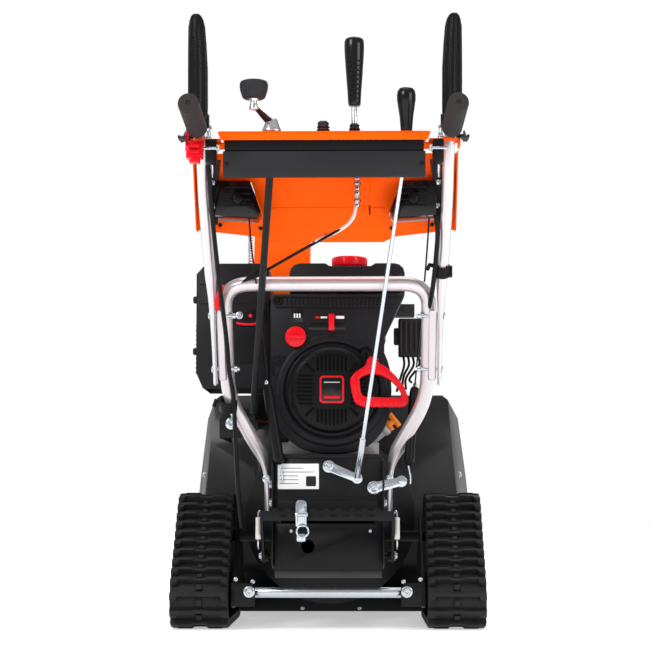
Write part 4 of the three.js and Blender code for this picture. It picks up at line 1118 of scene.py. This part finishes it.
def engine_sides():
    """The cooling duct beside the cylinder, the regulator on the right leg, and the oil filler's collar."""
    bm = bmesh.new()
    rings = []
    for z, x0, x1 in ((392, -122, -86), (470, -134, -86), (640, -134, -86), (704, -124, -86)):
        rings.append([(x0, -58, z), (x1, -58, z), (x1, 96, z), (x0, 96, z)])
    loft(bm, rings)
    make("cylinder_duct", bm, "chassis", DARK_PLASTIC, 5)
    bm = bmesh.new()
    block(bm, (150, -78, 575), (207, -34, 656))
    for i in range(5):
        block(bm, (152 + 10.8 * i, -84, 580), (158 + 10.8 * i, -76, 651))
    block(bm, (140, -70, 600), (152, -50, 636))
    make("regulator", bm, "chassis", MATT_BLACK, 3)
    bm = bmesh.new()
    for i, (x, drop) in enumerate(((160, 500), (170, 470), (180, 505), (192, 520))):
        run = [(x, -60, 578), (x + 2, -66, 556), (x - 6 - 4 * i, -58, 528), (x - 14, -50, drop)]
        sweep(bm, spline(run), 2.6, 10)
    make("regulator_wires", bm, "chassis", DARK_PLASTIC)
    along = Vector((52, 0, 42)).normalized()
    bm = bmesh.new()
    start = Vector((74, -8, 386))
    neck = [(13.2, 8), (15.5, 9), (15.5, 16), (13.4, 18), (13.4, 50), (15, 52), (16.5, 56), (16.5, 63),
            (13, 66.5)]
    lathe(bm, neck, start, along, 28)
    make("oil_filler", bm, "chassis", CAST, 0.5)


def exhaust():
    """Louvres over the silencer, and the belt cover's screws."""
    high = box("muffler")[1]
    bm = bmesh.new()
    for i in range(6):
        z = 622 + 13.5 * i
        block(bm, (24, high.y - 1, z), (116, high.y + 3, z + 6))
    for x in (18, 118):
        block(bm, (x, high.y - 1, 616), (x + 5, high.y + 4.5, 704))
    make("muffler_guard", bm, "chassis", MUFFLER, 0.8)
    front = box("belt_cover")[1].y - 0.5
    screws("belt_cover_screws", [(x, front, z) for x in (-60, 60) for z in (384, 520)], AHEAD, 6)


recoil_cover()
shroud_details()
handle_grip()
fuel_cap()
intake_details()
engine_sides()
exhaust()


# ------------------------------------------------------------------ chassis rear

CHASSIS_REAR = box("rear_cover")[1].y + 0.4


def chassis_details():
    rear = CHASSIS_REAR
    bm = bmesh.new()
    block(bm, (-114, rear - 3, 356), (114, rear + 14, 364))
    block(bm, (-109, rear - 2, 268), (109, rear + 1, 272))
    block(bm, (-109, rear - 1.2, 240), (109, rear + 1, 268))
    make("chassis_lip", bm, "chassis", BLACK, 1.2)
    bm = bmesh.new()
    tile(bm, (-105, 291), (-19, 344), 2, rear - 1.2, rear + 1)
    make("blank_label", bm, "chassis", WHITE, 0.2)
    bm = bmesh.new()
    for z, x1 in ((334, -52), (326, -30), (318, -62), (310, -62), (302, -62)):
        block(bm, (-101, rear - 1.6, z), (x1, rear, z + 1.2))
    tile(bm, (-46, 297), (-25, 318), 3, rear - 1.7, rear)
    make("label_lines", bm, "chassis", CHARCOAL, 0.1)
    face = box("rear_cover")[0].y + 0.5
    screws("cover_screws", [(-77, face, 204), (88, face, 204)], BACK, 4, ZINC)
    # side plates that carry the pedal and the handlebar's feet
    for side, sign in SIDES:
        bm = bmesh.new()
        outline = [(rear - 6, 132), (rear + 60, 124), (rear + 60, 356), (rear - 6, 352), (rear - 14, 330),
                   (rear - 14, 250), (rear - 22, 190), (rear - 22, 140)]
        prism(bm, outline, "x", *span(sign, 113.5, 117.5))
        make(f"side_plate_{side}", bm, "chassis", BLACK, 1.0)
        out = (sign, 0, 0)
        bolts(f"side_plate_bolts_{side}", [((sign * 117.5, rear + 12, 300), out, 8, 11),
                                           ((sign * 117.5, rear + 12, 262), out, 8, 11),
                                           ((sign * 139, -130, 152), out, 7, 10),
                                           ((sign * 128, rear - 1, 312), BACK, 7, 9)])


def pedal_details():
    """Slots in the pedal's face, its two return springs, and the latch in the middle."""
    low = box("foot_pedal")[0]
    bm = bmesh.new()
    for i in range(8):
        x = -104 + 26 * i
        prism(bm, capsule(x + 13, 236, 15, 5), "y", low.y - 1.2, low.y + 1)
    make("pedal_slots", bm, "foot_pedal", DARK_PLASTIC, 0.3)
    for side, sign in SIDES:
        bm = bmesh.new()
        x = sign * 143
        lathe(bm, [(5.5, 0), (5.5, 44), (4, 45)], (x, -205, 188), (0, 0.12, 1), 18)
        make(f"spring_sleeve_{side}", bm, "chassis", PALE, 0.4)
        bm = bmesh.new()
        hook = [(x, -200, 233), (x, -198, 242), (x - sign * 3, -194, 246), (x - sign * 5, -190, 240)]
        sweep(bm, spline(hook), 1.8, 10)
        make(f"spring_hook_{side}", bm, "foot_pedal", ZINC)
        bm = bmesh.new()
        hook = [(x, -205, 190), (x, -205, 178), (x, -200, 171), (x, -190, 168)]
        sweep(bm, spline(hook), 1.8, 10)
        make(f"spring_anchor_{side}", bm, "chassis", ZINC, 0.3)
    # latch in the middle: a bent strip, a ring and a pin
    bm = bmesh.new()
    rear = low.y - 1
    prism(bm, round_corners([(-64, 214), (-42, 214), (-42, 262), (-47, 268), (-59, 268), (-64, 262)], 3), "y",
          rear - 3.5, rear - 0.5)
    for x in (-64, -45):
        block(bm, (x, rear - 12, 222), (x + 3, rear - 2, 256))
    lathe(bm, [(5, 0), (5, 24), (3.5, 26)], (-65, rear - 8, 239), (1, 0, 0), 16)
    tube = []
    for a in turns(24):
        p = Vector((-50 + 12 * math.cos(a), rear - 8, 205 + 12 * math.sin(a)))
        tube.append([p + Vector((math.cos(a) * math.cos(b), math.sin(b), math.sin(a) * math.cos(b))) * 2.2
                     for b in turns(10)])
    loft(bm, tube, closed=True)
    tile(bm, (-62, 184), (-44, 200), 4, rear - 7, rear - 4)
    make("pedal_latch", bm, "foot_pedal", ZINC, 0.5)


def track_bracket_bolts():
    for side, sign in SIDES:
        rear = box(f"track_frame_{side}")[0].y
        bm = bmesh.new()
        x0, x1 = span(sign, 152, 196)
        tile(bm, (x0, 48), (x1, 90), 4, rear - 4, rear + 0.5)
        make(f"bracket_face_{side}", bm, "track_frame", BLACK, 1.0)
        bolts(f"bracket_bolts_{side}", [((sign * 164, rear - 3.5, 78), BACK, 8, 12),
                                        ((sign * 192, rear - 3.5, 104), BACK, 3.5, 4.5),
                                        ((sign * 157, rear + 4, 99), BACK, 3.5, 4.5)], "track_frame")
    bm = bmesh.new()
    sweep(bm, [(-157, -131, 76), (157, -131, 76)], 11, 24)
    make("cross_tube_round", bm, "track_frame", ZINC, 0.3, node="cross_tube")


def arm_details():
    """The bolt each arm turns on, and the pin at its tip."""
    pin = [(6, 0), (6, 4), (4, 6), (4, 12), (5.5, 13), (5.5, 16)]
    for node, x, z, tip_x, tip_z in (("speed_arm", 2, 338, 61, 313), ("auger_arm", 96, 294, 153, 307)):
        rear = box(node)[0].y
        bm = bmesh.new()
        hexagon_bolt(bm, (x, rear, z), BACK, 6.5, 9)
        lathe(bm, pin, (tip_x, rear, tip_z), BACK, 16)
        make(f"{node}_pins", bm, node, ZINC, 0.3)


chassis_details()
pedal_details()
track_bracket_bolts()
arm_details()


# ------------------------------------------------------------------ cables

def cable(name, points, radius, material=DARK_PLASTIC):
    """A cable that runs smoothly through its points."""
    bm = bmesh.new()
    sweep(bm, spline(points, 10), radius, 12)
    make(name, bm, "chassis", material)


def cables():
    cable("throttle_cable", [(62, -488, 862), (60, -486, 838), (52, -482, 812), (28, -474, 792),
                             (-20, -466, 770)], 3.6, PALE)
    cable("throttle_cable_black", [(30, -475, 793), (-20, -466, 768), (-80, -440, 738), (-128, -400, 716),
                                   (-146, -380, 708)], 3.0)
    bm = bmesh.new()
    for z, r in ((896, 6), (886, 7.5), (876, 5.5), (866, 6.5), (852, 7.5), (842, 5)):
        lathe(bm, [(r, 0), (r, 6), (r - 1.2, 7)], (62, -488, z - 8), UP, 6 if r > 7 else 16)
    sweep(bm, [(62, -488, 838), (62, -488, 905)], 3, 12)
    make("throttle_fitting", bm, "chassis", ZINC, 0.3)
    bm = bmesh.new()
    block(bm, (36, -492, 893), (94, -484, 909))
    block(bm, (84, -494, 818), (88, -480, 905))
    block(bm, (70, -494, 818), (88, -491, 838))
    make("cable_bracket", bm, "chassis", ORANGE, 0.8)
    bm = bmesh.new()
    prism(bm, [(-170, 700), (-122, 716), (-122, 728), (-134, 730), (-150, 722)], "y", -372, -368)
    make("cable_end_bracket", bm, "chassis", BLACK, 0.6)

    cable("left_tube_cable", [(-228, -520, 925), (-223, -498, 870), (-220, -455, 800), (-212, -398, 700),
                              (-203, -303, 590), (-200, -265, 530), (-194, -225, 482), (-192, -185, 400),
                              (-188, -160, 300), (-180, -150, 210)], 4.6)
    cable("left_thin_cable", [(-150, -470, 830), (-146, -430, 760), (-134, -300, 640), (-128, -190, 560),
                              (-126, -172, 505)], 1.7)
    cable("right_tube_cable", [(190, -460, 880), (208, -452, 850), (219, -448, 800), (217, -425, 745),
                               (212, -380, 690), (206, -330, 650), (202, -300, 610)], 4.8)
    cable("right_thin_cable", [(204, -440, 835), (200, -400, 760), (193, -260, 640), (187, -165, 560),
                               (182, -140, 500)], 1.7)
    # a rubber sleeve at the foot of each thin cable
    boots = (("left", (-126, -172, 502), (-100, -158, 342)), ("right", (182, -140, 498), (168, -150, 340)))
    for side, top, foot in boots:
        bm = bmesh.new()
        axis = Vector(foot) - Vector(top)
        length = axis.length
        lathe(bm, [(4, -8), (7.5, -6), (9.8, 0), (10.4, 6), (10.8, length - 24), (11.6, length - 20),
                   (11.6, length - 8), (8, length - 4), (4, length)], top, axis, 24)
        make(f"cable_boot_{side}", bm, "chassis", DARK_PLASTIC, 0.3)
        cable(f"boot_wire_{side}", [foot, (foot[0] + 4, foot[1] + 2, foot[2] - 22),
                                    (foot[0] + 4, foot[1] + 4, foot[2] - 38)], 1.8, ZINC)
        bm = bmesh.new()
        lathe(bm, [(2.6, 0), (4.2, 3), (4.2, 10), (2.4, 14)], Vector(top) - axis.normalized() * 16, axis, 14)
        make(f"cable_ferrule_{side}", bm, "chassis", ZINC, 0.2)


def left_bracket():
    bm = bmesh.new()
    prism(bm, round_corners([(-226, 398), (-150, 398), (-146, 430), (-172, 462), (-212, 466),
                             (-226, 446)], 8), "y",
          -146, -142)
    block(bm, (-228, -146, 398), (-224, 205, 440))
    make("left_stay", bm, "chassis", BLACK, 1.0)
    bolts("left_stay_bolt", [((-203, -146, 428), BACK, 9, 12.5)])


cables()
left_bracket()


# ------------------------------------------------------------------ bucket and chute

def side_wall(y, z):
    """How far out the bucket's flared side stands at a depth and height."""
    return 296 + 0.12 * (y - 330) - 0.1 * (z - 250)


def bucket_details():
    """Bolts and auger bearings on the bucket's sides, and the strip under its drum."""
    bearing = [(32, 0), (32, 3), (26, 5), (17, 5.5), (15, 9), (0, 9.5)]
    for side, sign in SIDES:
        out = (sign, -0.12, 0.1)
        bm = bmesh.new()
        for y, z in ((430, 200), (430, 120), (480, 330)):
            hexagon_bolt(bm, (sign * side_wall(y, z), y, z), out, 6, 8)
        x, y, z = side_wall(545, 228), 545, 228
        lathe(bm, bearing, (sign * x, y, z), out, 32)
        for a in turns(3):
            hexagon_bolt(bm, (sign * (x + 3.4), y + 25 * math.cos(a), z + 25 * math.sin(a)), out, 4, 5)
        make(f"bucket_bolts_{side}", bm, "chassis", ZINC, 0.2)
        skid = [((sign * (side_wall(y, 60) + 5), y, 60), out, 6, 8) for y in (540, 650)]
        bolts(f"skid_bolts_{side}", skid, bevel=0.2)
    # the stiffening strip under the drum, folded along its lower edge
    bm = bmesh.new()
    rings = [[(x, 318, 12), (x, 318, 40), (x, 322, 62), (x, 327, 62), (x, 324, 40), (x, 324, 17),
              (x, 515, 22),
              (x, 515, 17)] for x in (-226, 226)]
    loft(bm, rings)
    make("bucket_skirt", bm, "chassis", BLACK, 1.0)
    bolts("skirt_bolts", [((x, 318, 20), BACK, 4, 5) for x in (-66, 66)], bevel=0.2)


def chute_details():
    x, y = -112, 262
    half = 63.5
    bm = bmesh.new()
    rings = []
    for z, hx, hy in ((450, 77, 77), (466, 70, 66), (505, half + 2.4, 61.4), (509, half + 2.4, 61.4)):
        square = rectangle((-hx, -hy), (hx, hy), 62 if z < 460 else 20, 5)
        rings.append([(x + a, y + b, z) for a, b in square])
    inner = []
    for z in (509, 450):
        square = rectangle((-half - 0.6, -59.8), (half + 0.6, 59.8), 1, 5)
        inner.append([(x + a, y + b, z) for a, b in square])
    loft(bm, rings + inner, closed=True)
    make("chute_skirt", bm, "chute", BLACK, 0.0)
    bm = bmesh.new()
    lathe(bm, [(83.5, -6), (90, -6), (91, -4), (91, 10), (88, 12), (83.5, 12)], (x, y, 434), UP, 56,
          hollow=True)
    make("chute_collar", bm, "chassis", BLACK, 0.4)
    # hinge bolts of the hood, and the spring that holds it
    bolts("hood_bolts", [((x + sign * 67.5, 324, 986), (sign, 0, 0), 7, 10)
                         for _, sign in SIDES], "deflector")
    bm = bmesh.new()
    coil = []
    for k in range(161):
        a = 2 * math.pi * k / 10
        coil.append((-186 + 5.5 * math.cos(a), 250 + 5.5 * math.sin(a), 790 + 0.6 * k))
    sweep(bm, coil, 1.3, 6)
    for z in (786, 890):
        lathe(bm, [(7, 0), (7, 4), (4, 5)], (-186, 250, z - 2), UP, 16)
    make("hood_spring", bm, "chute", ZINC)
    bm = bmesh.new()
    for z in (774, 892):
        block(bm, (-194, 240, z), (-172, 262, z + 12))
    make("spring_lugs", bm, "chute", ORANGE, 0.8)


bucket_details()
chute_details()


# ------------------------------------------------------------------ floor, light and camera

def white_floor():
    bm = bmesh.new()
    bmesh.ops.create_grid(bm, x_segments=8, y_segments=8, size=14)
    mesh = bpy.data.meshes.new("floor")
    bm.to_mesh(mesh)
    bm.free()
    floor = bpy.data.objects.new("floor", mesh)
    link(floor)
    pale = finish("pale_floor", (0.93, 0.93, 0.93), 0.7, grain=3, bump=0.0, mottle=0.02)
    shader = pale.node_tree.nodes["Principled BSDF"]
    shader.inputs["Emission Color"].default_value = (1, 1, 1, 1)
    # the floor turns plain white away from the object
    links = pale.node_tree.links
    place = pale.node_tree.nodes.new("ShaderNodeNewGeometry")
    far = pale.node_tree.nodes.new("ShaderNodeVectorMath")
    far.operation = "LENGTH"
    glow = pale.node_tree.nodes.new("ShaderNodeMapRange")
    for name, value in (("From Min", 0.8), ("From Max", 2.4), ("To Min", 0.47), ("To Max", 1.0)):
        glow.inputs[name].default_value = value
    links.new(place.outputs["Position"], far.inputs[0])
    links.new(far.outputs["Value"], glow.inputs["Value"])
    links.new(glow.outputs["Result"], shader.inputs["Emission Strength"])
    mesh.materials.append(pale)


def white_world():
    world = bpy.data.worlds.new("studio")
    bpy.context.scene.world = world
    world.use_nodes = True
    # white behind the object, and a softer grey as a light
    background = world.node_tree.nodes["Background"]
    background.inputs["Color"].default_value = (1, 1, 1, 1)
    seen = world.node_tree.nodes.new("ShaderNodeLightPath")
    strength = world.node_tree.nodes.new("ShaderNodeMapRange")
    strength.inputs["To Min"].default_value = 0.45
    strength.inputs["To Max"].default_value = 1.0
    world.node_tree.links.new(seen.outputs["Is Camera Ray"], strength.inputs["Value"])
    world.node_tree.links.new(strength.outputs["Result"], background.inputs["Strength"])


def area(name, place, target, size, power):
    """A square lamp that looks at a point; metres and watts."""
    lamp = bpy.data.lights.new(name, "AREA")
    lamp.size = size
    lamp.energy = power
    lamp_object = bpy.data.objects.new(name, lamp)
    lamp_object.location = place
    lamp_object.rotation_euler = (Vector(target) - Vector(place)).to_track_quat("-Z", "Y").to_euler()
    link(lamp_object)


def rear_camera():
    camera = bpy.data.cameras.new("camera")
    camera.sensor_width = 36
    camera.lens = 108.22
    view = bpy.data.objects.new("camera", camera)
    view.location = (0.0616, -4.2462, 0.2662)
    view.rotation_euler = (math.radians(95.148), 0, math.radians(0.949))
    link(view)
    bpy.context.scene.camera = view
    bpy.context.scene.view_settings.view_transform = "Standard"


white_floor()
white_world()
area("key", (-2.2, -2.8, 2.6), (0, 0, 0.6), 1.4, 62)
area("fill", (2.6, -2.6, 1.6), (0, 0, 0.5), 1.6, 36)
area("top", (0.0, -0.4, 3.2), (0, 0, 0.6), 2.2, 30)
area("back", (1.2, 3.0, 2.4), (0, 0, 0.6), 2.0, 30)
rear_camera()
